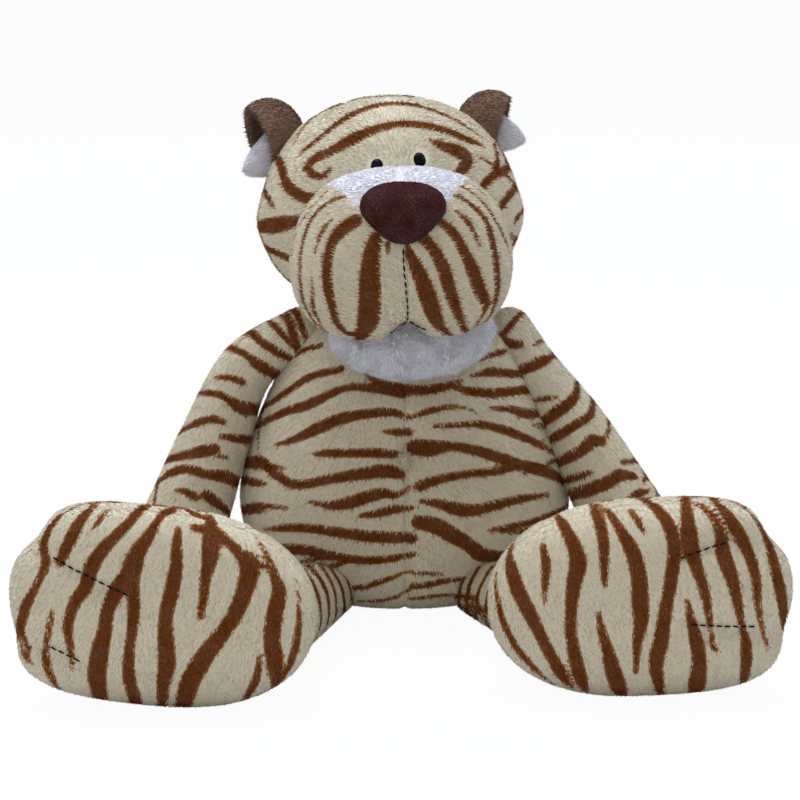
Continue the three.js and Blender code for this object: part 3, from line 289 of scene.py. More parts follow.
LEG_CAP_SHARE = .375
TOE_NOTCHES = ((25, 1), (-16, .55))
TOE_NOTCH_SPREAD = 11
TOE_STITCHES = {
    "left": [[(.54, .64), (.39, .59), (.24, .53)], [(.72, -.25), (.51, -.2), (.3, -.15)]],
    "right": [[(.71, .49), (.45, .36), (.19, .23)], [(.68, -.41), (.57, -.46), (.46, -.51)]]}
TOE_PULLS = {"left": [(.84, .54), (.94, -.34)], "right": [(.84, .58), (.98, -.4)]}
FLOOR_SINK = .5 * MM  # how far the forms are pressed into the floor
BODY_CLEARANCE, BARE_BELOW, PILE_CLEARANCE = .3 * MM, 1.2 * MM, .15 * MM  # heights over the floor
CURVE_STEPS = 40  # points between two control points of a smooth line
RISE_STEPS = 3001  # samples by which a form's rings are spaced evenly

# Columns, rows and the crowding of the columns to the front and the back of each main form
GRIDS = {"body": (176, 150, .35), "head": (160, 110, .35), "muzzle": (168, 100, .3), "chin": (96, 48, 0),
         "arm": (72, 130, 0), "leg": (64, 60, 0), "foot": (168, 64, 0), "tail": (40, 100, 0)}

# Distances from a stripe's edge, below zero inside it
NO_STRIPE = 8 * MM
RIM_START, RIM_END, RIM_FADE, TUFT_RIM = -1.4 * MM, -.3 * MM, .5 * MM, -1.1 * MM
STRIPE_STEP = 1.5 * MM  # distance between two samples of a stripe


def catmull(points, centripetal):
    """A dense smooth line through points, with its running length."""
    p = np.asarray(points, float)
    p = np.vstack([2 * p[0] - p[1], p, 2 * p[-1] - p[-2]]) if centripetal else \
        np.vstack([p[0], p, p[-1]])
    line = []
    for a, b, c, d in zip(p, p[1:], p[2:], p[3:]):
        t = np.linspace(0, 1, CURVE_STEPS, endpoint=False)[:, None]
        if centripetal:
            gaps = [max(np.linalg.norm(v - u) ** .5, 1e-9) for u, v in ((a, b), (b, c), (c, d))]
            lead = ((b - a) / gaps[0] - (c - a) / (gaps[0] + gaps[1]) + (c - b) / gaps[1]) * gaps[1]
            trail = ((c - b) / gaps[1] - (d - b) / (gaps[1] + gaps[2]) + (d - c) / gaps[2]) * gaps[1]
        else:
            lead, trail = (c - a) / 2, (d - b) / 2
        line.append(b + lead * t + (-3 * b + 3 * c - 2 * lead - trail) * t ** 2
                    + (2 * b - 2 * c + lead + trail) * t ** 3)
    line = np.vstack(line + [p[-2][None]])
    run = np.concatenate([[0], np.cumsum(np.linalg.norm(np.diff(line, axis=0), axis=1))])
    return line, run / run[-1]


def along(curve, at):
    line, run = curve
    return np.stack([np.interp(at, run, line[:, i]) for i in range(line.shape[1])], -1)


def unit(v):
    v = np.asarray(v, float)
    return v / np.maximum(np.linalg.norm(v, axis=-1, keepdims=True), 1e-12)


def circle(turn):
    """Shares of the way across and to the back at each turn."""
    return np.cos(2 * np.pi * turn), np.sin(2 * np.pi * turn)


# Forms: each gives the surface point at a turn and a rise from 0 to 1 ------------------------

def body_form(turn, rise):
    s = settings().body
    at = along(catmull(BODY_OUTLINE, False), rise)
    across, back = circle(turn)
    depth = np.where(back < 0, s.front_depth, s.back_depth)
    up = at[:, 1] * (s.height + FLOOR_SINK) - FLOOR_SINK
    p = np.stack([at[:, 0] * s.half_width * across, at[:, 0] * depth * back, up], -1)
    pull = np.exp(-(p[:, 0] / s.dimple_width) ** 2
                  - ((p[:, 2] - s.dimple_height) / s.dimple_width) ** 2)
    p[:, 1] += np.where(back < 0, s.dimple_depth * pull, 0)
    p[:, 2] = np.maximum(p[:, 2], BODY_CLEARANCE)
    return p


def head_form(turn, rise):
    s = settings().head
    at = along(catmull(HEAD_OUTLINE, False), rise)
    across, back = circle(turn)
    return np.stack([at[:, 0] * s.half_width * across, at[:, 0] * s.half_depth * back,
                     s.base + at[:, 1] * s.height], -1)


def muzzle_form(turn, rise):
    s = settings().muzzle
    at = along(catmull(MUZZLE_OUTLINE, False), rise)
    across, back = circle(turn)
    x = at[:, 0] * s.half_width * across
    cleft = np.exp(-(x / s.cleft_width) ** 2)
    low = np.maximum(0, 1 - at[:, 1] / .6)
    crease = s.crease_depth * cleft * np.sqrt(low) * at[:, 0] * np.maximum(0, -back)
    depth = np.where(back < 0, s.front_depth, s.back_depth)
    return np.stack([x, at[:, 0] * depth * back - s.forward + crease,
                     s.base + at[:, 1] * s.height + s.cleft_rise * cleft * low * low], -1)


def chin_form(turn, rise):
    s = settings().muzzle
    out = np.sin(np.pi * rise) ** np.where(rise < .5, s.chin_point, 1)
    across, back = circle(turn)
    p = np.stack([s.chin_offset + s.chin_half_width * out * across,
                  -s.chin_forward + s.chin_half_depth * out * back,
                  s.chin_height - s.chin_half_height * np.cos(np.pi * rise)], -1)
    middle = np.array([s.chin_offset, -s.chin_forward, s.chin_height])
    return p + (p - middle) * (.05 * rough(p, 15 * MM) + .04 * rough(p, 7 * MM))[:, None]


def rough(points, grain):
    """Lumps from -1 to 1 at each point, of about that size."""
    return np.array([noise.noise(Vector(p) / grain) for p in points])


def nose_form(turn, rise):
    s = settings().muzzle
    a = 2 * np.pi * turn
    out = (1 + .06 * np.sin(3 * a)) * np.sin(np.pi * rise) ** .7
    taper = 1 + s.nose_taper * np.minimum(np.sin(a), 0)
    p = np.stack([s.nose_half_width * out * taper * np.cos(a),
                  s.nose_half_height * out * np.sin(a),
                  -s.nose_thickness * np.cos(np.pi * rise)], -1)
    for side in (-1, 1):
        fold = np.exp(-((p[:, 0] - side * .38 * s.nose_half_width) / (4 * MM)) ** 2
                      - ((p[:, 1] + .45 * s.nose_half_height) / (8 * MM)) ** 2)
        p[:, 2] -= 1.6 * MM * fold * (p[:, 2] > 0)
    return p


def foot_form(name):
    s = settings().feet

    def place(turn, rise):
        a = 2 * np.pi * turn
        square = np.where(np.cos(a) > 0, s.toe_squareness, s.heel_squareness)
        outline = (np.abs(np.cos(a) / s.half_length) ** square
                   + np.abs(np.sin(a) / (s.width / 2)) ** square) ** (-1 / square)
        degrees = np.degrees(np.where(a > np.pi, a - 2 * np.pi, a))
        notch = sum(part * np.exp(-((degrees - at) / TOE_NOTCH_SPREAD) ** 2)
                    for at, part in TOE_NOTCHES)
        reach = (outline - s.notch * notch) * np.sin(np.pi * rise) ** .62
        out = -np.cos(np.pi * rise)
        depth = np.where(out < 0, s.instep_depth, s.sole_depth)
        p = np.stack([reach * np.cos(a), reach * np.sin(a), depth * out], -1)
        for pull, points in zip(TOE_PULLS[name], TOE_STITCHES[name]):
            line = np.array([pull, *points]) * [s.half_length, s.width / 2]
            near, share_in = line_distance(p[:, :2], line)
            p[:, 2] *= 1 - s.groove * np.exp(-(near / s.groove_width) ** 2) * (1 - .5 * share_in)
        return p
    return place


def line_distance(points, line):
    """Distance of each flat point to a line of points, and how far along it the nearest place lies."""
    best, place = np.full(len(points), 1e3), np.zeros(len(points))
    for i, (a, b) in enumerate(zip(line, line[1:])):
        share_of = np.clip(((points - a) @ (b - a)) / ((b - a) @ (b - a)), 0, 1)
        far = np.linalg.norm(points - a - share_of[:, None] * (b - a), axis=1)
        place = np.where(far < best, (i + share_of) / (len(line) - 1), place)
        best = np.minimum(best, far)
    return best, place


def ear_form(turn, rise):
    s = settings().ears
    out = np.sin(np.pi * rise)
    across, back = circle(turn)
    return np.stack([s.half_height * out * across, s.half_width * out * back,
                     -s.depth * np.cos(np.pi * rise)], -1)


def limb_form(route, radius_at, cap, level):
    """A limb that swells along a route, with a round end at each side."""
    def place(turn, rise):
        far = (rise - cap) / (1 - 2 * cap)
        radius = radius_at(np.clip(far, 0, 1))
        near_end, far_end = far < 0, far > 1
        arc = np.where(near_end, rise, 1 - rise) / cap * np.pi / 2
        ends = np.where(near_end, radius_at(np.zeros_like(rise)), radius_at(np.ones_like(rise)))
        radius = np.where(near_end | far_end, ends * np.sin(arc), radius)
        past = np.where(near_end, -ends * np.cos(arc), np.where(far_end, ends * np.cos(arc), 0))
        at = np.clip(far, 0, 1)
        lead = unit(along(route, np.minimum(at + .002, 1)) - along(route, np.maximum(at - .002, 0)))
        across = unit(np.cross(level, lead))
        up = np.cross(lead, across)
        a = 2 * np.pi * turn
        return (along(route, at) + lead * past[:, None] + across * (radius * np.cos(a))[:, None]
                + up * (radius * np.sin(a))[:, None])
    return place


def arm_form(name):
    s, side = settings().limbs, SIDES[name]
    root = np.array([side * s.shoulder_out, s.shoulder_back, s.shoulder_height])
    drop = s.shoulder_height - s.paw_radius + FLOOR_SINK
    route = catmull([root + [side * out * s.arm_reach, -ahead * s.arm_forward, -down * drop]
                     for out, ahead, down in ARM_ROUTES[name]], True)
    radii = np.array(ARM_RADII) * s.paw_radius
    stops = np.linspace(0, 1, len(radii))
    return limb_form(route, lambda at: np.interp(at, stops, radii), ARM_CAP_SHARE, (0, 1, 0))


def ankle_of(name):
    s, side = settings().limbs, SIDES[name]
    return np.array([side * getattr(s, "ankle_out_" + name), -getattr(s, "ankle_forward_" + name),
                     s.ankle_height])


def hip_of(name):
    s = settings().limbs
    return np.array([SIDES[name] * s.hip_out, -s.hip_forward, s.hip_height])


def leg_form(name):
    s = settings().limbs
    route = catmull([hip_of(name), (hip_of(name) + ankle_of(name)) / 2, ankle_of(name)], True)
    swell = s.ankle_radius - s.hip_radius
    return limb_form(route, lambda at: s.hip_radius + swell * at, LEG_CAP_SHARE, (0, 0, 1))


def tail_form():
    s = settings().limbs
    root = np.array([0, s.tail_back, s.tail_height])
    drop = s.tail_height - s.tail_radius + FLOOR_SINK
    route = catmull([root + [out * s.tail_sway, back * s.tail_reach, -down * drop]
                     for out, back, down in TAIL_ROUTE], True)
    radii = np.array(TAIL_RADII) * s.tail_radius
    stops = np.linspace(0, 1, len(radii))
    return limb_form(route, lambda at: np.interp(at, stops, radii), ARM_CAP_SHARE, (0, 0, 1)), route


def head_frame():
    s = settings().head
    return Matrix.Translation((s.neck_x, s.neck_y, s.neck_z)) @ Matrix.Rotation(s.yaw, 4, "Z") \
        @ Matrix.Rotation(s.roll, 4, "Y")


def basis(across, up, out, at):
    m = Matrix((Vector(across), Vector(up), Vector(out))).transposed().to_4x4()
    m.translation = Vector(at)
    return m


def foot_frame(name):
    s, side = settings().feet, SIDES[name]
    centre = (side * getattr(s, "out_" + name), -getattr(s, "forward_" + name), s.width / 2 - FLOOR_SINK)
    roll = getattr(s, "roll_" + name)
    toes, up = (side * math.cos(roll), 0, math.sin(roll)), (-side * math.sin(roll), 0, math.cos(roll))
    return basis(toes, up, (0, -1, 0), centre)


def ear_frame(name):
    s, side = settings().ears, SIDES[name]
    out = Vector((side * s.out, -getattr(s, "ahead_" + name), -s.down)).normalized()
    across = Vector((0, 1, 0)).cross(out).normalized()
    return head_frame() @ basis(across, out.cross(across), out,
                                (s.offset + side * s.spacing / 2, s.back, s.height))


def moved(points, matrix):
    m = np.array(matrix)
    return points @ m[:3, :3].T + m[:3, 3]


# Meshes -------------------------------------------------------------------------------------

class Form:
    """A closed surface made of rings between two poles, with a tree for finding points on it."""

    def __init__(self, place, columns, rows, matrix=None, crowd=0.0):
        dense = np.linspace(0, 1, RISE_STEPS)
        run = np.cumsum(np.linalg.norm(np.diff(place(np.zeros(RISE_STEPS), dense), axis=0), axis=1))
        rises = np.interp(np.arange(1, rows) / rows * run[-1], run, dense[1:])
        turns = np.arange(columns) / columns
        turns, rises = np.meshgrid(turns - crowd / (2 * np.pi) * np.cos(2 * np.pi * turns), rises)
        rings = place(turns.ravel(), rises.ravel())
        poles = place(np.zeros(2), np.array([0.0, 1.0]))
        self.points = np.vstack([poles[:1], rings, poles[1:]])
        if matrix is not None:
            self.points = moved(self.points, matrix)
        ring = lambda row, col: 1 + row * columns + col % columns
        last = len(self.points) - 1
        self.faces = [(0, ring(0, c + 1), ring(0, c)) for c in range(columns)]
        self.faces += [(ring(r, c), ring(r, c + 1), ring(r + 1, c + 1), ring(r + 1, c))
                       for r in range(rows - 2) for c in range(columns)]
        self.faces += [(ring(rows - 2, c), ring(rows - 2, c + 1), last) for c in range(columns)]
        if self.volume() < 0:
            self.faces = [f[::-1] for f in self.faces]
        self.tree = BVHTree.FromPolygons(self.points.tolist(), self.faces)

    def volume(self):
        """Six times the volume, below zero where the faces look in."""
        p = self.points
        return sum(np.dot(p[f[0]], np.cross(p[f[i]], p[f[i + 1]]))
                   for f in self.faces for i in range(1, len(f) - 1))

    def inside(self, points, depth=0.0):
        """Whether each point lies deeper than depth inside the form."""
        found = np.zeros(len(points), bool)
        low, high = self.points.min(0), self.points.max(0)
        for i in np.flatnonzero(np.all((points > low) & (points < high), axis=1)):
            at, normal, _, far = self.tree.find_nearest(Vector(points[i]))
            found[i] = (Vector(points[i]) - at).dot(normal) < 0 and far > depth
        return found


def shell(form, owner=None, planes=(), matrix=None, pinch=None):
    """Cuts a form along planes and gives each owner's panel its wall.

    Each panel is its points, its faces, whether each point is on the outside, and the normals.
    """
    wall = settings().pile.skin
    bm = bmesh.new()
    for p in form.points:
        bm.verts.new(p)
    bm.verts.ensure_lookup_table()
    for f in form.faces:
        bm.faces.new([bm.verts[i] for i in f])
    back = matrix.inverted() if matrix is not None else Matrix()
    turn = (matrix or Matrix()).to_3x3()
    for at, normal in planes:
        point = (matrix or Matrix()) @ Vector(at)
        bmesh.ops.bisect_plane(bm, geom=bm.verts[:] + bm.edges[:] + bm.faces[:], dist=1e-6,
                               plane_co=point, plane_no=turn @ Vector(normal))
    bm.normal_update()
    points = np.array([v.co for v in bm.verts])
    normals = np.array([v.normal for v in bm.verts])
    local = moved(points, back)
    if pinch is not None:
        points = points - normals * (settings().pile.seam * pinch(local))[:, None]
    bm.verts.index_update()
    labels = {}
    for f in bm.faces:
        centre = np.mean([local[v.index] for v in f.verts], axis=0)
        labels.setdefault(owner(centre) if owner else "", []).append([v.index for v in f.verts])
    bm.free()
    panels = {}
    for name, faces in labels.items():
        used = sorted({i for f in faces for i in f})
        new = {old: i for i, old in enumerate(used)}
        faces = [[new[i] for i in f] for f in faces]
        outer, out_normals = points[used], normals[used]
        count = len(outer)
        edges = {}
        for f in faces:
            for a, b in zip(f, f[1:] + f[:1]):
                edges[(a, b)] = edges.get((a, b), 0) + 1
        rim = [(a, b) for a, b in edges if (b, a) not in edges]
        if not rim:
            panels[name] = (outer, faces, np.ones(count, bool), out_normals)
            continue
        inner = outer - out_normals * wall
        allfaces = faces + [[i + count for i in f[::-1]] for f in faces] \
            + [[b, a, a + count, b + count] for a, b in rim]
        panels[name] = (np.vstack([outer, inner]), allfaces,
                        np.concatenate([np.ones(count, bool), np.zeros(count, bool)]),
                        np.vstack([out_normals, -out_normals]))
    return panels


def new_object(name, points, faces, material):
    mesh = bpy.data.meshes.new(name)
    mesh.from_pydata(np.asarray(points).tolist(), [], [list(map(int, f)) for f in faces])
    mesh.polygons.foreach_set("use_smooth", [True] * len(mesh.polygons))
    mesh.materials.append(material)
    mesh.update()
    obj = bpy.data.objects.new(name, mesh)
    bpy.context.collection.objects.link(obj)
    return obj


def put(mesh, name, values):
    values = np.asarray(values, np.float32)
    kind = "FLOAT_VECTOR" if values.ndim == 2 else "FLOAT"
    layer = mesh.attributes.new(name, kind, "POINT")
    layer.data.foreach_set("vector" if values.ndim == 2 else "value", values.ravel())


# Stripes ------------------------------------------------------------------------------------

def ray_of(column, row):
    """The camera's place and the direction in which it sees a point of the picture."""
    s = settings().camera
    down = s.elevation
    ahead = Vector((0, math.cos(down), -math.sin(down)))
    up = Vector((0, math.sin(down), math.cos(down)))
    eye = Vector((0, 0, s.aim)) - ahead * s.distance
    return eye, (ahead + Vector((1, 0, 0)) * (column - s.middle) / s.focal
                 + up * (PICTURE / 2 - row) / s.focal).normalized()


def seen_at(form, column, row):
    """The point of a form that the picture shows there, or the nearest one to it."""
    eye, way = ray_of(column, row)
    hit = form.tree.ray_cast(eye, way)[0]
    if hit is None:
        middle = Vector(form.points.mean(0))
        hit = form.tree.find_nearest(eye + way * (middle - eye).dot(way))[0]
    return np.array(hit)


def pixel_size():
    s = settings().camera
    return s.distance / s.focal


def follow(form, samples, step=STRIPE_STEP):
    """Fills a row of (x, y, z, half width) samples up with points on the form."""
    out = []
    for a, b in zip(samples, samples[1:]):
        count = max(1, int(np.linalg.norm(b[:3] - a[:3]) / step))
        for t in np.arange(count) / count:
            mid = a + (b - a) * t
            out.append([*form.tree.find_nearest(Vector(mid[:3]))[0], mid[3]])
    out.append([*samples[-1]])
    return out


def wrapped(form, samples, reach):
    """Carries a stripe on round the form, tapering, for a distance of reach."""
    if reach <= 0:
        return []
    here = np.array(samples[-1][:3])
    before = np.array(samples[max(-5, -len(samples))][:3])
    way, out = unit(here - before), []
    for i in range(int(reach / STRIPE_STEP)):
        there = np.array(form.tree.find_nearest(Vector(here + way * STRIPE_STEP))[0])
        if np.linalg.norm(there - here) < STRIPE_STEP / 4:
            break
        way, here = unit(there - here), there
        left = 1 - (i * STRIPE_STEP / reach)
        out.append([*here, samples[-1][3] * (left ** .6)])
    return out


def drawn(form, strokes):
    """Samples of the stripes that the picture shows, and of the few strokes that paint shade in the stripe
    colour.

    A stroke is a list of (column, row, width) in pixels, with the distances in millimetres for
    which its start and its end go on round the form where it has them.
    """
    found = []
    for stroke in strokes.values():
        points, start, end = stroke if isinstance(stroke, tuple) else (stroke, 0, 0)
        line, run = catmull(points, True)
        spots = along((line, run), np.linspace(0, 1, max(4, int(12 * len(points)))))
        samples = [np.array([*seen_at(form, x, y), w / 2 * pixel_size()]) for x, y, w in spots]
        filled = follow(form, samples)
        found += filled + wrapped(form, filled[::-1], start * MM) + wrapped(form, filled, end * MM)
    return found


def ruled(form, place, strokes, matrix=None):
    """Samples of stripes given by turn, rise and width in millimetres."""
    found = []
    for points in strokes:
        line, run = catmull(points, True)
        spots = along((line, run), np.linspace(0, 1, 16 * len(points)))
        at = place(spots[:, 0] % 1, np.clip(spots[:, 1], 0, 1))
        if matrix is not None:
            at = moved(at, matrix)
        samples = [np.array([*p, w / 2 * MM]) for p, w in zip(at, spots[:, 2])]
        found += follow(form, samples)
    return found


def stripe_field(points, samples):
    """Distance of each point to the edge of the nearest stripe, below zero inside it."""
    field = np.full(len(points), NO_STRIPE)
    samples = np.asarray(samples, float)
    if not len(samples):
        return field
    spread = settings().pile.spread
    size = 2000
    for start in range(0, len(points), size):
        block = points[start:start + size]
        far = np.sqrt(((block[:, None, :] - samples[None, :, :3]) ** 2).sum(-1))
        field[start:start + size] = np.minimum(NO_STRIPE, (far - samples[None, :, 3] - spread).min(1))
    return field


BELLY_STROKES = {
    "collar_right": ([(262, 385, 4), (300, 352, 6), (322, 345, 5)], 20, 0),
    "chest_high_right": ([(262, 408, 7), (285, 393, 8), (310, 377, 8), (342, 369, 7)], 40, 0),
    "chest_right": ([(258, 425, 7), (282, 413, 9), (312, 403, 10), (330, 394, 8), (350, 387, 7),
        (380, 389, 9), (404, 394, 9)], 50, 0),
    "rib_right": [(276, 445, 3), (292, 440, 7), (312, 431, 11), (340, 419, 11), (365, 414, 9),
        (390, 412, 8), (408, 416, 5)],
    "button_right": [(383, 431, 2), (396, 432, 7), (409, 432, 8)],
    "navel_right": [(313, 454, 3), (330, 453, 8), (356, 453, 8), (380, 453, 9), (406, 455, 5)],
    "belt_right": ([(243, 461, 12), (262, 462, 12), (276, 474, 10), (290, 483, 9), (306, 484, 9),
        (330, 479, 9), (360, 474, 11), (385, 471, 13), (400, 474, 10), (403, 476, 6)], 50, 0),
    "belly_right": [(309, 502, 3), (330, 505, 8), (348, 503, 12), (366, 497, 12), (384, 493, 10),
        (396, 495, 6), (409, 488, 5)],
    "belly_low_right": [(360, 516, 4), (378, 513, 8), (396, 509, 8), (413, 508, 4)],
    "flank_right": ([(240, 511, 9), (254, 506, 8), (270, 506, 5), (288, 508, 3)], 30, 0),
    "side_arm_right": ([(240, 478, 8), (254, 482, 8), (266, 484, 4)], 0, 0),
    "hip_high_right": [(262, 530, 2), (280, 528, 7), (306, 528, 9), (336, 532, 10), (366, 536, 12),
        (412, 538, 11)],
    "hip_right": ([(254, 545, 9), (276, 549, 12), (306, 550, 12), (334, 556, 10), (360, 560, 9),
        (388, 559, 8), (414, 554, 6)], 20, 0),
    "hip_low_right": [(308, 570, 4), (325, 569, 6), (344, 562, 5), (354, 560, 5)],
    "fork_right": [(300, 562, 3), (320, 558, 5), (340, 558, 6)],
    "lap_right": [(341, 588, 3), (362, 587, 7), (382, 581, 6), (402, 574, 4), (412, 571, 3)],
    "lap_low_right": [(346, 600, 2), (370, 601, 4), (392, 598, 5), (409, 591, 4)],
    "collar_left": ([(428, 352, 4), (470, 360, 5), (500, 352, 6)], 0, 10),
    "chest_top_left": ([(470, 376, 2), (490, 372, 8), (512, 373, 9)], 0, 30),
    "chest_high_left": ([(452, 387, 3), (470, 391, 8), (492, 393, 9), (512, 391, 9),
        (530, 389, 9)], 0, 50),
    "chest_left": [(411, 417, 3), (426, 412, 6), (446, 407, 5), (462, 407, 3), (476, 412, 2)],
    "rib_high_left": ([(490, 408, 2), (508, 409, 7), (524, 413, 10), (545, 413, 8)], 0, 50),
    "rib_left": ([(434, 426, 4), (456, 425, 5), (480, 424, 7), (504, 430, 9), (530, 440, 8),
        (548, 449, 6), (564, 455, 6)], 0, 50),
    "rib_side_left": ([(531, 424, 3), (542, 426, 5), (556, 429, 4)], 0, 30),
    "navel_left": ([(414, 447, 15), (430, 448, 16), (450, 446, 9), (474, 450, 10), (500, 458, 11),
        (520, 465, 11), (542, 470, 12), (562, 479, 11)], 0, 60),
    "belt_left": [(420, 486, 10), (440, 479, 9), (466, 474, 7), (496, 471, 8), (512, 467, 8)],
    "belly_left": [(421, 501, 4), (440, 504, 9), (458, 509, 13), (476, 510, 11), (498, 504, 10),
        (520, 499, 8), (549, 494, 4)],
    "hip_high_left": ([(418, 522, 13), (436, 526, 16), (452, 535, 16), (468, 544, 14), (480, 554, 15),
        (494, 556, 12), (506, 555, 8)], 0, 20),
    "flank_left": ([(489, 530, 4), (514, 526, 7), (534, 521, 7), (560, 510, 6)], 0, 40),
    "flank_low_left": [(500, 531, 4), (524, 531, 6), (546, 531, 4)],
    "lap_left": [(413, 573, 3), (428, 573, 4), (442, 574, 3)],
    "lap_low_left": ([(413, 587, 6), (430, 584, 8), (450, 580, 6), (470, 578, 5)], 0, 20),
    "floor_left": [(409, 599, 4), (434, 596, 5), (456, 594, 3)],
    "seam_low": [(408, 590, 3), (414, 583, 4)],
    # Painted shadow of the chin on the chest, laid in the stripe colour over a real stripe that runs under
    # the chin
    "chin_shadow_and_stripe": [(366, 374, 3), (380, 383, 7), (400, 388, 9), (422, 390, 9), (442, 387, 8),
        (462, 381, 3)],
}

CROWN_STROKES = {
    "top": [(330, 110, 3), (350, 102, 4), (368, 98, 4), (386, 97, 3)],
    "top_left": [(388, 93, 2), (400, 95, 3), (412, 99, 2)],
    "high": ([(305, 127, 5), (320, 112, 6), (334, 107, 5), (348, 100, 5), (384, 97, 3)], 20, 0),
    "second": ([(309, 147, 5), (330, 130, 7), (352, 115, 9), (376, 106, 9), (402, 104, 9), (424, 108, 7),
        (446, 116, 5), (458, 122, 5)], 10, 20),
    "brow": ([(308, 168, 8), (312, 161, 9), (332, 151, 10), (352, 140, 13), (372, 131, 11), (394, 125, 9),
        (420, 125, 9), (446, 131, 9), (470, 141, 8), (476, 143, 6)], 0, 8),
    "temple_curl_right": [(306, 167, 7), (314, 175, 7), (324, 176, 6), (330, 170, 5)],
    "temple_right": ([(279, 160, 9), (283, 170, 11), (286, 182, 11), (295, 192, 11), (308, 198, 11),
        (324, 198, 9)], 20, 0),
    "cheek_high_right": ([(263, 186, 5), (268, 196, 7), (275, 209, 3)], 10, 0),
    "cheek_right": ([(256, 227, 12), (272, 228, 11), (286, 225, 10), (302, 221, 8)], 60, 0),
    "jaw_right": ([(262, 246, 7), (276, 252, 9), (292, 260, 9)], 50, 0),
    "neck_right": ([(280, 275, 6), (290, 281, 8), (300, 286, 8)], 40, 0),
    "temple_left": [(430, 141, 3), (444, 147, 11), (458, 152, 15), (466, 158, 15), (463, 168, 11),
        (454, 176, 5)],
    "ear_left": ([(495, 148, 6), (497, 160, 7), (494, 172, 8), (483, 185, 8)], 6, 0),
    "ear_side_left": ([(511, 163, 7), (504, 170, 8), (494, 176, 7)], 30, 0),
    "cheek_left": ([(518, 184, 7), (508, 196, 8), (500, 207, 8)], 50, 0),
    "cheek_low_left": ([(521, 212, 5), (514, 222, 6)], 60, 0),
    "jaw_left": ([(516, 240, 5), (508, 250, 6)], 60, 0),
}

MUZZLE_STROKES = {
    # Painted shade: a thin dark line in the stripe colour along the crease where the muzzle meets the head
    "rim_crease_shade_right": ([(333, 186, 1.5), (314, 206, 2), (299, 228, 2), (293, 250, 2.2), (292, 262, 1)], 0, 0),
    "outer_right": ([(346, 196, 3), (330, 202, 4.5), (314, 216, 4.5), (305, 236, 5), (301, 256, 5),
        (301, 284, 5), (306, 306, 5), (318, 326, 4)], 0, 40),
    "short_right": [(332, 219, 2), (324, 229, 4), (318, 242, 3), (315, 254, 1.5)],
    "low_right": ([(312, 278, 1.5), (313, 292, 4), (314, 308, 5), (321, 324, 4)], 0, 40),
    "wide_right": ([(356, 221, 12), (342, 230, 12), (332, 244, 10), (328, 262, 10), (328, 286, 11),
        (333, 308, 9), (338, 324, 8), (350, 334, 9), (362, 334, 9)], 0, 0),
    "main_right": ([(376, 238, 11), (372, 254, 15), (370, 276, 18), (370, 302, 20), (368, 322, 19),
        (364, 334, 12)], 0, 30),
    "under_nose": [(388, 244, 5), (388, 249, 4), (388, 255, 1.5)],
    "cleft_left": [(407, 246, 4), (410, 256, 9), (420, 276, 13), (427, 296, 16), (434, 316, 14),
        (442, 330, 8), (450, 335, 4)],
    "inner_left": ([(420, 236, 10), (432, 248, 10), (443, 268, 12), (450, 292, 12), (457, 312, 9),
        (463, 328, 6)], 0, 20),
    "middle_left": ([(436, 219, 6), (452, 232, 9), (464, 252, 10), (473, 272, 13), (480, 292, 13),
        (486, 305, 9), (480, 318, 4), (474, 326, 3)], 0, 10),
    "short_left": [(456, 211, 2), (466, 221, 5), (474, 233, 5), (479, 247, 2)],
    "outer_left": ([(441, 194, 4), (456, 196, 4), (472, 206, 5), (485, 220, 6), (492, 242, 9),
        (496, 266, 9), (497, 290, 8), (492, 310, 5), (482, 326, 3)], 0, 10),
    "edge_left": ([(448, 184, 3), (462, 187, 3), (478, 198, 3), (491, 214, 4), (500, 230, 4),
        (507, 246, 3)], 0, 40),
    # Painted shade: a thin dark line in the stripe colour along the crease where the muzzle meets the head
    "rim_crease_shade_left": ([(450, 177, 1.5), (468, 183, 1.5), (486, 196, 1.5)], 0, 0),
}

MOUTH_ROUTES = [[(403, 248), (404, 270), (406, 292), (408, 312), (407, 319)],
                [(406, 320), (398, 326), (388, 332)], [(410, 320), (418, 325), (426, 328)]]

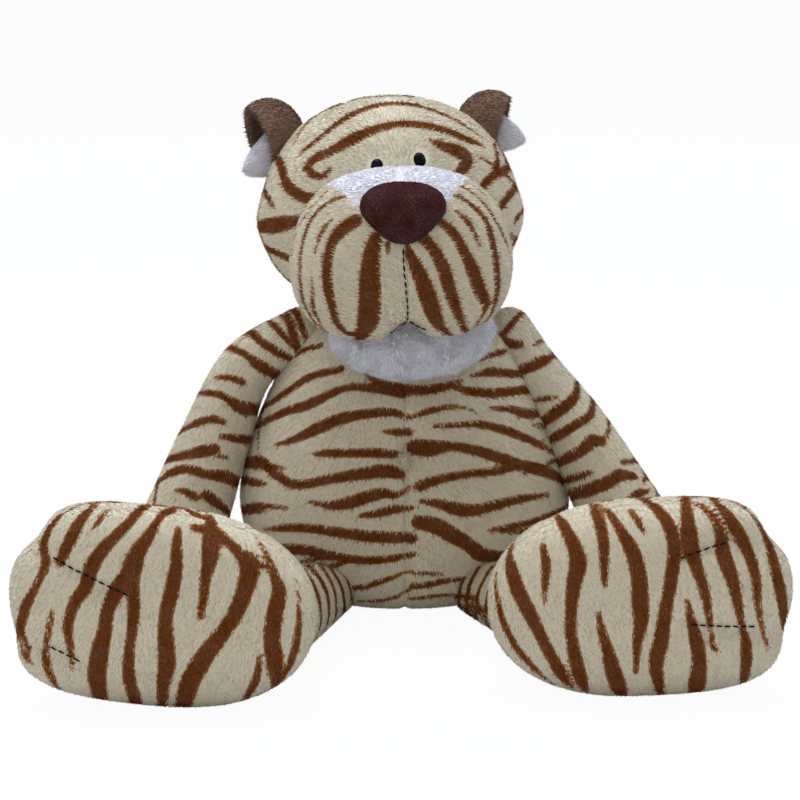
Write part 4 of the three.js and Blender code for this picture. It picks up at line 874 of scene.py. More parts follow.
ARM_STROKES = {
    "right": {
        "root": ([(288, 300, 5), (296, 312, 7), (302, 326, 6)], 30, 20),
        "shoulder": ([(279, 312, 5), (288, 319, 7), (293, 332, 8), (296, 340, 6)], 40, 20),
        "high": ([(270, 320, 5), (278, 329, 7), (288, 340, 6)], 40, 20),
        "upper": ([(252, 333, 9), (262, 342, 8), (278, 352, 9)], 50, 30),
        "upper_low": ([(235, 349, 7), (250, 357, 7), (258, 364, 11), (276, 374, 11)], 50, 30),
        "dash": [(216, 377, 3), (232, 378, 6), (243, 382, 7)],
        "elbow": ([(202, 392, 6), (218, 394, 7), (230, 400, 8), (240, 407, 13), (262, 409, 12)], 50, 30),
        "fore_high": ([(184, 429, 7), (196, 423, 8), (212, 419, 8), (224, 422, 6)], 50, 0),
        "fore_inner": ([(221, 436, 4), (234, 438, 8), (250, 439, 9)], 0, 40),
        "fore": ([(168, 459, 9), (184, 455, 9), (204, 451, 12), (215, 449, 11)], 50, 0),
        "fore_dash": [(217, 456, 3), (228, 457, 3)],
        "wrist": ([(156, 483, 6), (172, 472, 9), (188, 469, 9), (206, 474, 9), (222, 476, 12),
            (242, 482, 11), (254, 484, 8)], 50, 30),
        "paw": ([(175, 489, 2), (190, 493, 8), (196, 498, 7)], 0, 0),
        "paw_inner": ([(206, 494, 10), (216, 502, 10), (224, 508, 7)], 0, 30),
        "paw_low": ([(160, 512, 9), (176, 511, 9), (188, 514, 6)], 30, 0),
    },
    "left": {
        "root": ([(512, 323, 6), (504, 333, 6), (500, 340, 5)], 30, 20),
        "high": ([(498, 336, 4), (512, 344, 9), (520, 344, 8)], 20, 0),
        "nick": ([(539, 341, 4), (533, 345, 2)], 30, 0),
        "upper": ([(551, 356, 7), (540, 362, 11), (526, 368, 11)], 50, 30),
        "inner_dash": ([(558, 397, 2), (548, 398, 5), (540, 399, 5)], 0, 30),
        "upper_low": ([(576, 381, 7), (576, 393, 9), (570, 402, 11), (554, 414, 12)], 60, 30),
        "elbow": ([(592, 404, 7), (590, 414, 9), (580, 422, 9), (562, 433, 10)], 60, 30),
        "fore_dash": ([(608, 422, 5), (608, 430, 5), (604, 437, 3)], 30, 0),
        "fore_high": ([(602, 441, 9), (592, 441, 13), (582, 450, 11), (567, 458, 11)], 0, 40),
        "fore_edge": ([(634, 460, 6), (622, 462, 5)], 30, 0),
        "fore_short": ([(590, 472, 4), (580, 476, 7), (568, 479, 7)], 0, 40),
        "wrist": ([(634, 476, 8), (620, 475, 12), (606, 483, 13), (588, 490, 13), (574, 494, 12)], 0, 40),
        "wrist_edge": ([(648, 475, 6), (643, 480, 5)], 30, 0),
        "paw": ([(648, 490, 4), (638, 494, 9), (626, 502, 7), (612, 506, 5)], 0, 20),
        "paw_edge": ([(664, 492, 7), (656, 502, 9), (658, 512, 7)], 30, 0),
        "paw_side": ([(684, 512, 8), (676, 520, 8)], 30, 10),
    },
}

LEG_STROKES = {
    "right": {
        "ankle": ([(272, 566, 5), (288, 580, 7), (300, 596, 7), (306, 612, 6)], 30, 40),
        "ankle_second": ([(286, 566, 4), (300, 578, 7), (310, 592, 7), (314, 608, 6)], 30, 40),
        "calf": ([(298, 566, 5), (310, 580, 7), (318, 596, 7), (321, 614, 6)], 40, 40),
        "calf_second": ([(310, 566, 5), (322, 582, 7), (328, 598, 7), (329, 614, 6)], 40, 40),
        "calf_third": ([(322, 567, 4), (332, 584, 6), (336, 600, 6), (336, 614, 5)], 40, 40),
        "knee": ([(332, 570, 5), (341, 586, 7), (344, 600, 7), (344, 612, 6)], 40, 40),
        "knee_high": ([(344, 574, 4), (350, 588, 5), (352, 602, 4)], 40, 40),
    },
    "left": {
        "ankle": ([(498, 574, 5), (490, 590, 7), (486, 606, 7), (486, 620, 5)], 30, 40),
        "ankle_second": ([(488, 572, 5), (480, 588, 6), (476, 604, 6), (476, 618, 5)], 30, 40),
        "calf": ([(478, 568, 5), (470, 584, 7), (467, 600, 7), (467, 614, 5)], 40, 40),
        "calf_second": ([(468, 570, 4), (461, 586, 6), (459, 600, 6), (459, 612, 4)], 40, 40),
        "knee": ([(460, 572, 4), (454, 588, 5), (452, 602, 5)], 40, 40),
    },
}

FOOT_STROKES = {
    "right": {
        "toe_edge": ([(62, 514, 5), (50, 528, 8), (44, 544, 9), (46, 562, 8), (42, 574, 7), (34, 590, 8),
            (26, 606, 10), (20, 626, 10), (14, 642, 6)], 30, 20),
        "toe_second": ([(94, 505, 7), (84, 516, 9), (74, 532, 11), (66, 548, 11), (60, 562, 8)], 40, 0),
        "toe_nick": [(108, 509, 3), (100, 520, 5), (94, 528, 3)],
        "toe_low_short": ([(30, 646, 5), (27, 656, 6), (32, 664, 3)], 0, 0),
        "toe_low": ([(53, 611, 4), (49, 628, 6), (46, 648, 6), (47, 666, 8), (54, 682, 7)], 0, 20),
        "toe_main": ([(140, 510, 9), (124, 528, 9), (104, 548, 11), (92, 566, 13), (86, 586, 12),
            (74, 604, 10), (68, 628, 9), (71, 650, 7), (73, 668, 3)], 40, 0),
        "ball": ([(157, 522, 7), (146, 540, 11), (136, 556, 15), (130, 574, 17), (116, 592, 14),
            (108, 610, 12), (104, 634, 13), (99, 656, 16), (97, 676, 17), (100, 697, 14)], 30, 20),
        "ball_second": ([(139, 556, 8), (134, 580, 10), (134, 606, 11), (132, 632, 9), (129, 654, 9),
            (129, 676, 11), (136, 702, 12)], 0, 20),
        "arch": ([(178, 529, 5), (177, 546, 9), (176, 568, 11), (171, 594, 13), (166, 616, 12),
            (166, 642, 14), (167, 662, 15), (164, 682, 12), (162, 704, 9)], 0, 20),
        "arch_short": ([(211, 544, 16), (210, 558, 14), (206, 576, 9), (204, 594, 8),
            (200, 618, 5)], 30, 0),
        "heel_long": ([(242, 558, 9), (249, 570, 16), (245, 590, 15), (236, 612, 14), (222, 634, 14),
            (208, 652, 16), (196, 670, 17), (188, 688, 17), (184, 704, 15)], 30, 20),
        "heel": ([(274, 574, 8), (279, 592, 13), (275, 614, 15), (272, 640, 15), (275, 662, 15),
            (276, 680, 10)], 30, 20),
        "heel_edge": ([(299, 604, 4), (299, 622, 6), (296, 644, 8), (290, 664, 8),
            (284, 676, 6)], 20, 20),
        "heel_low": ([(259, 656, 3), (258, 672, 7), (252, 688, 8), (246, 698, 6)], 0, 20),
        "top": ([(166, 512, 12), (180, 508, 8), (196, 514, 8), (212, 520, 9)], 0, 0),
        "top_heel": ([(194, 527, 7), (212, 533, 8), (226, 541, 8), (236, 549, 9)], 0, 0),
        "top_edge": ([(248, 554, 7), (262, 567, 6)], 0, 0),
    },
    "left": {
        "heel_edge": ([(497, 596, 5), (502, 618, 7), (510, 636, 7), (520, 652, 8),
            (534, 668, 7)], 20, 20),
        "heel": ([(509, 556, 8), (512, 572, 13), (518, 590, 14), (530, 614, 13), (540, 634, 11),
            (550, 654, 11), (560, 672, 12)], 20, 20),
        "heel_short": [(543, 546, 6), (546, 564, 8), (545, 584, 6), (544, 602, 3)],
        "arch": ([(566, 530, 10), (574, 546, 12), (578, 562, 15), (574, 584, 13), (571, 608, 10),
            (571, 632, 10), (575, 656, 12), (580, 676, 12)], 30, 20),
        "arch_short": ([(597, 516, 9), (602, 532, 10), (604, 552, 9), (604, 570, 7),
            (605, 587, 3)], 30, 0),
        "arch_low": ([(598, 612, 4), (601, 628, 7), (607, 648, 10), (612, 666, 14),
            (618, 686, 15)], 0, 20),
        "ball": ([(614, 520, 7), (624, 536, 10), (634, 556, 13), (639, 576, 14), (640, 600, 15),
            (641, 620, 13), (637, 644, 8), (636, 672, 4)], 30, 0),
        "ball_high": ([(630, 510, 4), (637, 520, 6), (643, 530, 4)], 0, 0),
        "ball_long": ([(656, 508, 10), (668, 524, 11), (674, 546, 12), (672, 572, 12), (668, 596, 11),
            (664, 620, 12), (660, 644, 14), (656, 664, 13), (659, 686, 9)], 30, 20),
        "toe": ([(686, 506, 9), (688, 524, 13), (690, 544, 16), (696, 566, 11), (704, 590, 9),
            (708, 610, 7), (710, 627, 5)], 40, 0),
        "toe_low": ([(687, 600, 4), (691, 620, 8), (696, 640, 12), (699, 660, 13),
            (697, 686, 16)], 0, 20),
        "toe_third": ([(704, 508, 6), (714, 518, 8), (720, 534, 10), (724, 556, 14), (732, 578, 12),
            (737, 600, 9), (742, 626, 6), (746, 644, 10), (746, 664, 11), (744, 680, 8)], 30, 20),
        "toe_curl": [(712, 634, 3), (712, 644, 5), (718, 651, 3)],
        "toe_fourth": ([(714, 500, 8), (728, 516, 11), (740, 536, 12), (750, 558, 11), (756, 580, 9),
            (758, 604, 7), (762, 628, 4), (768, 650, 3)], 40, 0),
        "toe_edge": ([(752, 514, 6), (764, 532, 9), (772, 556, 10), (778, 580, 12), (783, 604, 12),
            (784, 622, 8)], 30, 10),
    },
}


def back_bands(form, place, rises, reach, width, seed, matrix=None, middle=.25):
    """Stripes for a side that the picture hides: bands from near its middle to its flanks."""
    chance = np.random.default_rng(seed)
    strokes = []
    for row, rise in enumerate(rises):
        for side in (-1, 1):
            start = middle + side * (.012 + .03 * ((row + (side > 0)) % 2))
            end = middle + side * (reach - .03 * chance.random())
            wave = chance.uniform(-.012, .012, 4)
            w = width * chance.uniform(.8, 1.15)
            strokes.append([(start + (end - start) * far, rise + bend, w * part) for far, bend, part
                            in zip((0, .3, .65, 1), wave, (.45, 1, .9, .3))])
    return ruled(form, place, strokes, matrix)


def edge_bands(form, place, turns, low, high, width, seed, matrix=None):
    """Stripes for a side that the picture hides: bands that run from a rim over the form's back."""
    chance = np.random.default_rng(seed)
    strokes = []
    for turn in turns:
        end = low + (high - low) * chance.uniform(.6, 1)
        wave = chance.uniform(-.01, .01, 3)
        w = width * chance.uniform(.8, 1.15)
        strokes.append([(turn + bend, low + (end - low) * far, w * part) for bend, far, part
                        in zip(wave, (0, .5, 1), (1, .9, .3))])
    return ruled(form, place, strokes, matrix)


# Materials ----------------------------------------------------------------------------------

def plain_material(name, base, roughness, sheen=0.0, gloss=0.5):
    material = bpy.data.materials.new(name)
    material.use_nodes = True
    shader = material.node_tree.nodes["Principled BSDF"]
    shader.inputs["Base Color"].default_value = (*base, 1)
    shader.inputs["Roughness"].default_value = roughness
    shader.inputs["Sheen Weight"].default_value = sheen
    shader.inputs["Specular IOR Level"].default_value = gloss
    material.diffuse_color = (*base, 1)
    return material


def mixed(tree, factor, a, b):
    """A mix of two colours, or of the colours that two sockets give."""
    mix = tree.nodes.new("ShaderNodeMix")
    mix.data_type = "RGBA"
    tree.links.new(factor, mix.inputs[0])
    for slot, value in ((6, a), (7, b)):
        if isinstance(value, bpy.types.NodeSocket):
            tree.links.new(value, mix.inputs[slot])
        else:
            mix.inputs[slot].default_value = (*value, 1)
    return mix.outputs[2]


def ramped(tree, value, low, high):
    """A value carried from low and high to 0 and 1."""
    ramp = tree.nodes.new("ShaderNodeMapRange")
    ramp.inputs["From Min"].default_value = low
    ramp.inputs["From Max"].default_value = high
    tree.links.new(value, ramp.inputs["Value"])
    return ramp.outputs["Result"]


def grain(tree, scale, detail):
    """Fine noise that is fixed to the piece."""
    place = tree.nodes.new("ShaderNodeTexCoord")
    fine = tree.nodes.new("ShaderNodeTexNoise")
    fine.inputs["Scale"].default_value = scale
    fine.inputs["Detail"].default_value = detail
    tree.links.new(place.outputs["Object"], fine.inputs["Vector"])
    return fine.outputs["Fac"]


def cloth_material(name, ground, tip, marks=None, marks_tip=None, edge=None):
    """The plush's backing and pressed pile: fine mottling, and stripes where the cloth has them."""
    material = plain_material(name, ground, .95, gloss=.05)
    tree = material.node_tree
    shader = tree.nodes["Principled BSDF"]
    fine = grain(tree, 900, 3)
    out = mixed(tree, fine, ground, tip)
    if marks is not None:
        field = tree.nodes.new("ShaderNodeAttribute")
        field.attribute_name = "stripe"
        dark = mixed(tree, fine, marks, marks_tip)
        rim = mixed(tree, ramped(tree, field.outputs["Fac"], RIM_START, RIM_END), dark, edge)
        out = mixed(tree, ramped(tree, field.outputs["Fac"], RIM_END, RIM_FADE), rim, out)
    tree.links.new(out, shader.inputs["Base Color"])
    bump = tree.nodes.new("ShaderNodeBump")
    bump.inputs["Strength"].default_value = .4
    bump.inputs["Distance"].default_value = .4 * MM
    tree.links.new(fine, bump.inputs["Height"])
    tree.links.new(bump.outputs["Normal"], shader.inputs["Normal"])
    return material


def between(a, b, t):
    return tuple(x + (y - x) * t for x, y in zip(a, b))


def tuft_material(name, base, sheen):
    """One shade of a tuft, a little darker or lighter from place to place as brushed pile is."""
    material = plain_material(name, base, .9, sheen, .02 + .3 * sheen)
    tree = material.node_tree
    patch = ramped(tree, grain(tree, 90, 2), .3, .7)
    tree.links.new(mixed(tree, patch, between(base, (0, 0, 0), .11), between(base, (1, 1, 1), .05)),
                   tree.nodes["Principled BSDF"].inputs["Base Color"])
    return material


def shades(name, ground, tip, sheen, count=3):
    """Tuft materials from the ground colour to the tip colour."""
    return [tuft_material(f"{name}_{i + 1}", between(ground, tip, i / (count - 1)), sheen)
            for i in range(count)]


MATERIALS = {}


def materials():
    if not MATERIALS:
        c = settings().colours
        MATERIALS["striped"] = cloth_material("striped_plush", c.cream, c.cream_light, c.stripe,
                                              c.stripe_light, c.stripe_edge)
        MATERIALS["white"] = cloth_material("white_plush", c.white, c.white_light)
        MATERIALS["brown"] = cloth_material("brown_plush", c.brown, c.brown_light)
        MATERIALS["nose"] = cloth_material("nose_plush", c.nose, c.nose_light)
        MATERIALS["cream_tufts"] = shades("cream_tuft", c.cream, c.cream_light, .2)
        MATERIALS["stripe_tufts"] = shades("stripe_tuft", c.stripe, c.stripe_light, 0)
        MATERIALS["edge_tufts"] = shades("stripe_edge_tuft", c.stripe_light, c.stripe_edge, 0, 2)
        MATERIALS["white_tufts"] = shades("white_tuft", c.white, c.white_light, .2)
        MATERIALS["brown_tufts"] = shades("brown_tuft", c.brown, c.brown_light, .05)
        MATERIALS["nose_tufts"] = shades("nose_tuft", c.nose, c.nose_light, 0)
        MATERIALS["thread"] = plain_material("sewing_thread", c.thread, .85, gloss=.12)
        MATERIALS["eye"] = plain_material("eye_gloss", c.eye, .08, gloss=.03)
        MATERIALS["washer"] = plain_material("washer_plastic", (.7, .68, .64), .45)
    return MATERIALS


# Pile ---------------------------------------------------------------------------------------

class Tree:
    """A node tree under construction."""

    def __init__(self, name):
        self.tree = bpy.data.node_groups.new(name, "GeometryNodeTree")

    def socket(self, name, kind, default=None, out=False):
        item = self.tree.interface.new_socket(name, in_out="OUTPUT" if out else "INPUT",
                                              socket_type=kind)
        if default is not None:
            item.default_value = default

    def node(self, kind, inputs=None, **options):
        node = self.tree.nodes.new(kind)
        for key, value in options.items():
            setattr(node, key, value)
        for key, value in (inputs or {}).items():
            if isinstance(value, bpy.types.NodeSocket):
                self.tree.links.new(value, node.inputs[key])
            else:
                node.inputs[key].default_value = value
        return node

    def named(self, name, kind="FLOAT"):
        return self.node("GeometryNodeInputNamedAttribute", {"Name": name},
                         data_type=kind).outputs["Attribute"]

    def math(self, operation, a, b):
        return self.node("ShaderNodeMath", {0: a, 1: b}, operation=operation).outputs[0]

    def vector(self, operation, a, b, slot=1):
        return self.node("ShaderNodeVectorMath", {0: a, slot: b}, operation=operation).outputs[0]

    def stray(self, seed, amount):
        """A random vector for each point."""
        chance = self.node("FunctionNodeRandomValue", {0: (-1, -1, -1), 1: (1, 1, 1), "Seed": seed},
                           data_type="FLOAT_VECTOR")
        return self.vector("SCALE", chance.outputs[0], amount, "Scale")

    def stored(self, geometry, name, value):
        """The geometry with a value kept on its points."""
        return self.node("GeometryNodeStoreNamedAttribute", {
            "Geometry": geometry, "Name": name, "Value": value}, data_type="FLOAT",
            domain="POINT").outputs[0]

    def without(self, geometry, *names):
        """The geometry without the named attributes."""
        for name in names:
            geometry = self.node("GeometryNodeRemoveAttribute",
                                 {"Geometry": geometry, "Name": name}).outputs[0]
        return geometry


def pile_tree(name, tufts, marks=None, edges=None):
    """Scatters leaning tufts over a skin, in shades of its colour and of its stripes' colour."""
    t = Tree(name)
    t.socket("Geometry", "NodeSocketGeometry")
    for label, default in (("Density", 600000.0), ("Width", .0008), ("Length", .004), ("Lean", 1.0),
                           ("Stray", .2), ("Fuzz", .0015)):
        t.socket(label, "NodeSocketFloat", default)
    t.socket("Seed", "NodeSocketInt", 1)
    t.socket("Geometry", "NodeSocketGeometry", out=True)
    source = t.node("NodeGroupInput").outputs
    scatter = t.node("GeometryNodeDistributePointsOnFaces", {
        "Mesh": source["Geometry"], "Density": t.math("MULTIPLY", source["Density"], t.named("pile")),
        "Seed": source["Seed"]}, distribute_method="RANDOM")
    chance = lambda low, high, seed: t.node(
        "FunctionNodeRandomValue", {2: low, 3: high, "Seed": seed}, data_type="FLOAT").outputs[1]
    upright = t.vector("SCALE", scatter.outputs["Normal"], t.node(
        "ShaderNodeMath", {0: source["Lean"]}, operation="COSINE").outputs[0], "Scale")
    flat = t.vector("SCALE", t.named("comb", "FLOAT_VECTOR"), t.node(
        "ShaderNodeMath", {0: source["Lean"]}, operation="SINE").outputs[0], "Scale")
    way = t.vector("ADD", t.vector("ADD", upright, flat), t.stray(5, source["Stray"]))
    turn = t.node("FunctionNodeAlignRotationToVector", {"Vector": way}, axis="Z").outputs["Rotation"]
    spun = t.node("FunctionNodeRotateRotation", {0: turn, 1: t.node(
        "FunctionNodeAxisAngleToRotation", {"Angle": chance(0.0, 6.28, 9)}).outputs[0]},
        rotation_space="LOCAL")
    tuft = t.node("GeometryNodeMeshCone", {"Vertices": 3, "Radius Top": 0.0, "Radius Bottom": .5,
                                           "Depth": 1.0}, fill_type="NGON").outputs["Mesh"]
    wide = t.math("MULTIPLY", source["Width"], chance(.7, 1.3, 2))
    tall = t.math("MULTIPLY", t.math("MULTIPLY", source["Length"], t.named("tall")), chance(.65, 1.15, 3))
    size = t.node("ShaderNodeCombineXYZ", {"X": wide, "Y": wide, "Z": tall}).outputs[0]
    marked = t.stored(scatter.outputs["Points"], "shade", chance(0.0, 1.0, 4))
    frayed = t.stored(marked, "fray", t.math(
        "ADD", t.named("stripe"), t.math("MULTIPLY", source["Fuzz"], chance(-.5, .5, 6))))
    grown = t.node("GeometryNodeInstanceOnPoints", {
        "Points": frayed, "Instance": tuft, "Rotation": spun.outputs[0], "Scale": size}).outputs[0]
    out = t.node("GeometryNodeRealizeInstances", {"Geometry": grown}).outputs[0]

    def paint(geometry, palette, chosen=None):
        for i, material in enumerate(palette):
            pick = t.node("FunctionNodeCompare", {0: t.named("shade"), 1: i / len(palette)},
                          data_type="FLOAT", operation="GREATER_EQUAL").outputs[0]
            if chosen is not None:
                pick = t.node("FunctionNodeBooleanMath", {0: pick, 1: chosen},
                              operation="AND").outputs[0]
            geometry = t.node("GeometryNodeSetMaterial", {
                "Geometry": geometry, "Selection": pick, "Material": material}).outputs[0]
        return geometry

    out = paint(out, tufts)
    if marks:
        for palette, limit in ((edges, 0.0), (marks, TUFT_RIM)):
            out = paint(out, palette, t.node("FunctionNodeCompare", {0: t.named("fray"), 1: limit},
                                             data_type="FLOAT", operation="LESS_THAN").outputs[0])
    out = t.without(out, "shade", "fray", "comb", "tall", "pile", "stripe")
    both = t.node("GeometryNodeJoinGeometry")
    t.tree.links.new(out, both.inputs[0])
    t.tree.links.new(source["Geometry"], both.inputs[0])
    done = t.node("NodeGroupOutput")
    t.tree.links.new(both.outputs[0], done.inputs[0])
    return t.tree


TREES = {}


def grow_pile(obj, kind, length_m, seed_shift, density_share=1.0, width_share=1.0, lean=None,
              stray=.2):
    """Runs the pile's node tree on a skin and keeps the result as its mesh."""
    s, m = settings().pile, materials()
    if kind not in TREES:
        TREES[kind] = pile_tree(kind + "_pile", m[("cream" if kind == "striped" else kind) + "_tufts"],
                                *((m["stripe_tufts"], m["edge_tufts"]) if kind == "striped" else ()))
    mesh = run_tree(obj, TREES[kind], {
        "Density": s.density * density_share * 1,
        "Width": s.width * width_share, "Length": length_m,
        "Lean": s.lean if lean is None else math.radians(lean), "Stray": stray,
        "Fuzz": s.fuzz, "Seed": s.seed + seed_shift})
    spots = np.empty(len(mesh.vertices) * 3, np.float32)
    mesh.vertices.foreach_get("co", spots)
    spots = spots.reshape(-1, 3)
    spots[:, 2] = np.maximum(spots[:, 2], PILE_CLEARANCE)
    mesh.vertices.foreach_set("co", spots.ravel())
    for name in ("comb", "tall", "pile"):
        if name in mesh.attributes:
            mesh.attributes.remove(mesh.attributes[name])
    mesh.update()


def stitch_tree():
    """Lays one short thread at every point, along the point's lead."""
    t = Tree("stitches")
    t.socket("Geometry", "NodeSocketGeometry")
    for label, default in (("Radius", .0005), ("Length", .0035), ("Stray", .12)):
        t.socket(label, "NodeSocketFloat", default)
    t.socket("Seed", "NodeSocketInt", 1)
    t.socket("Geometry", "NodeSocketGeometry", out=True)
    source = t.node("NodeGroupInput").outputs
    turn = t.node("FunctionNodeAlignRotationToVector", {"Vector": t.vector(
        "ADD", t.named("lead", "FLOAT_VECTOR"), t.stray(source["Seed"], source["Stray"]))},
        axis="Z").outputs["Rotation"]
    size = t.node("ShaderNodeCombineXYZ", {"X": source["Radius"], "Y": source["Radius"],
                                           "Z": t.math("MULTIPLY", source["Length"], .5)}).outputs[0]
    thread = t.node("GeometryNodeMeshUVSphere",
                    {"Segments": 8, "Rings": 6, "Radius": 1.0}).outputs["Mesh"]
    laid = t.node("GeometryNodeInstanceOnPoints", {"Points": source["Geometry"], "Instance": thread,
                                                   "Rotation": turn, "Scale": size}).outputs[0]
    out = t.node("GeometryNodeRealizeInstances", {"Geometry": laid}).outputs[0]
    out = t.node("GeometryNodeSetMaterial", {"Geometry": t.without(out, "lead"),
                                             "Material": materials()["thread"]}).outputs[0]
    done = t.node("NodeGroupOutput")
    t.tree.links.new(out, done.inputs[0])
    return t.tree


def sew(name, form, routes, lift, nodes, body):
    """Sews stitches over a form along routes of points that lie on it."""
    s = settings().pile
    spots, leads = [], []
    for route in routes:
        line = np.array(follow(form, [np.array([*p, 0]) for p in route], .5 * MM))[:, :3]
        run = np.concatenate([[0], np.cumsum(np.linalg.norm(np.diff(line, axis=0), axis=1))])
        for at in np.arange(s.stitch / 2, run[-1], s.stitch + s.stitch_gap):
            ends = [np.array([np.interp(at + shift, run, line[:, i]) for i in range(3)])
                    for shift in (-s.stitch / 2, s.stitch / 2)]
            middle = (ends[0] + ends[1]) / 2
            normal = np.array(form.tree.find_nearest(Vector(middle))[1])
            spots.append(middle + normal * lift)
            leads.append(unit(ends[1] - ends[0]))
    obj = new_object(name, spots, [], materials()["thread"])
    put(obj.data, "lead", np.array(leads))
    if "stitches" not in TREES:
        TREES["stitches"] = stitch_tree()
    run_tree(obj, TREES["stitches"],
             {"Radius": s.thread, "Length": s.stitch, "Stray": .12, "Seed": s.seed})
    obj.data.polygons.foreach_set("use_smooth", [True] * len(obj.data.polygons))
    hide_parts(*nodes)
    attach(obj, body)


def run_tree(obj, tree, values):
    """Runs a node tree on an object and keeps the result as its mesh."""
    modifier = obj.modifiers.new("Nodes", "NODES")
    modifier.node_group = tree
    for item in tree.interface.items_tree:
        if item.in_out == "INPUT" and item.name in values:
            modifier[item.identifier] = values[item.name]
    evaluated = obj.evaluated_get(bpy.context.evaluated_depsgraph_get())
    mesh = bpy.data.meshes.new_from_object(evaluated)
    obj.modifiers.remove(modifier)
    old, obj.data = obj.data, mesh
    bpy.data.meshes.remove(old)
    mesh.name = obj.name
    return mesh


def dress(name, panel, kind, body, nodes, comb, samples=(), bare=(), tall=None, length_m=None,
          slot=None, **pile):
    """Makes one panel of plush: its skin, its stripes and its pile, riding on a body."""
    points, faces, outer, normals = panel
    obj = new_object(name, points, faces, materials()[kind])
    mesh = obj.data
    put(mesh, "stripe", stripe_field(points, samples))
    way = comb(points)
    way = unit(way - normals * (way * normals).sum(-1, keepdims=True))
    put(mesh, "comb", way)
    cover = outer.astype(float)
    cover[points[:, 2] < BARE_BELOW] = 0
    for hides in bare:
        cover[hides(points)] = 0
    put(mesh, "pile", cover)
    put(mesh, "tall", np.ones(len(points)) if tall is None else tall(points))
    grow_pile(obj, kind, settings().pile.length if length_m is None else length_m,
              seed_shift=sum(map(ord, name)) % 97, **pile)
    if nodes:
        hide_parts(*nodes)
    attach(obj, body)
    return obj


FORMS = {}


def forms():
    """Every main form, made once, in the toy's own frame."""
    if not FORMS:
        head = head_frame()
        made = [("body", body_form, None), ("head", head_form, head), ("muzzle", muzzle_form, head),
                ("chin", chin_form, head), ("tail", tail_form()[0], None)]
        for name in SIDES:
            made += [("arm_" + name, arm_form(name), None), ("leg_" + name, leg_form(name), None),
                     ("foot_" + name, foot_form(name), foot_frame(name))]
        for name, place, matrix in made:
            columns, rows, crowd = GRIDS[name.split("_")[0]]
            FORMS[name] = Form(place, columns, rows, matrix, crowd)
    return FORMS


def hidden_in(depth_mm, *names):
    """Tests that pick the points deeper than that inside the named forms."""
    return [lambda points, name=name: forms()[name].inside(points, depth_mm * MM) for name in names]


def combed(way):
    """A comb that lays the whole pile one way."""
    return lambda points: np.tile(way, (len(points), 1))


def head_comb(lead):
    """A comb whose lead is given for points of the head's own frame."""
    matrix = head_frame()
    back, turn = matrix.inverted(), np.array(matrix.to_3x3()).T
    return lambda points: lead(moved(points, back)) @ turn


# Pieces -------------------------------------------------------------------------------------

def make_body():
    f, s = forms(), settings().body
    samples = drawn(f["body"], BELLY_STROKES)
    samples += back_bands(f["body"], body_form,
                          [.2, .27, .34, .41, .48, .55, .62, .69, .76, .83, .9], .23, 10, 11)
    panels = shell(f["body"], lambda p: "left" if p[0] > 0 else "right", [((0, 0, 0), (1, 0, 0))],
                   pinch=lambda p: np.exp(-(p[:, 0] / (2.5 * MM)) ** 2))
    comb = lambda p: np.stack([p[:, 0] * 3, np.zeros(len(p)), np.full(len(p), -.25)], -1)
    bare = hidden_in(4, "arm_left", "arm_right", "leg_left", "leg_right", "head") + hidden_in(3, "tail")
    nodes = {"left": ["body_skin_left", "body_stuffing", "seat_pellet_bag"],
             "right": ["body_skin_right"]}
    for name in SIDES:
        dress("body_half_" + name, panels[name], "striped", "torso", nodes[name], comb, samples, bare)

    def seat(turn, rise):
        across, back = circle(turn)
        out = np.sin(np.pi * rise) ** .3
        return np.stack([s.seat_width * out * across, s.seat_depth * out * back,
                         np.maximum(.05 * MM, 1.3 * MM - 1.2 * MM * np.cos(np.pi * rise))], -1)
    dress("seat_base", shell(Form(seat, 64, 12))[""], "striped", "torso", ["seat_panel"], comb)
    low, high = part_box("belly_tack")
    middle, size = (np.array(low) + high) / 2, settings().pile.tack

    def tack(turn, rise):
        across, back = circle(turn)
        out = np.sin(np.pi * rise)
        return middle + size * np.stack([out * across, .6 * out * back, -1.5 * np.cos(np.pi * rise)], -1)
    dress("belly_tack_fluff", shell(Form(tack, 24, 16))[""], "striped", "torso", ["belly_tack"],
          lambda p: np.stack([p[:, 0] - middle[0], np.full(len(p), -.003), p[:, 2] - middle[2]], -1),
          slot="tack_thread", density_share=3, length_m=settings().pile.length * 1.5, lean=45,
          stray=.5)


def make_head():
    f, s, frame_of_head = forms(), settings().head, head_frame()
    samples = drawn(f["head"], CROWN_STROKES)
    samples += back_bands(f["head"], head_form, [.2, .29, .38, .47, .56, .65, .74, .83, .91], .21,
                          9, 12, frame_of_head)
    planes = [((s.crown, 0, 0), (1, 0, 0)), ((-s.crown, 0, 0), (1, 0, 0)),
              ((0, 0, s.crown_foot), (0, 0, 1)), ((0, 0, 0), (1, 0, 0))]

    def owner(p):
        if abs(p[0]) < s.crown and p[2] > s.crown_foot:
            return "crown"
        return "side_left" if p[0] > 0 else "side_right"

    def pinch(p):
        seam = np.exp(-((np.abs(p[:, 0]) - s.crown) / (2 * MM)) ** 2)
        return seam * .5 * (p[:, 2] > s.crown_foot) * (p[:, 1] > 0)
    panels = shell(f["head"], owner, planes, frame_of_head, pinch=pinch)
    comb = head_comb(lambda p: np.stack([p[:, 0] * 2, np.zeros(len(p)), p[:, 2] - 90 * MM], -1))
    bare = hidden_in(3, "muzzle", "chin") + hidden_in(4, "body") + [near_eyes(2.2 * MM)]
    nodes = {"crown": ["head_crown", "head_stuffing"], "side_left": ["head_side_left"],
             "side_right": ["head_side_right"]}
    for name, panel in panels.items():
        dress("head_" + name + "_plush", panel, "striped", "head", nodes[name], comb, samples, bare)


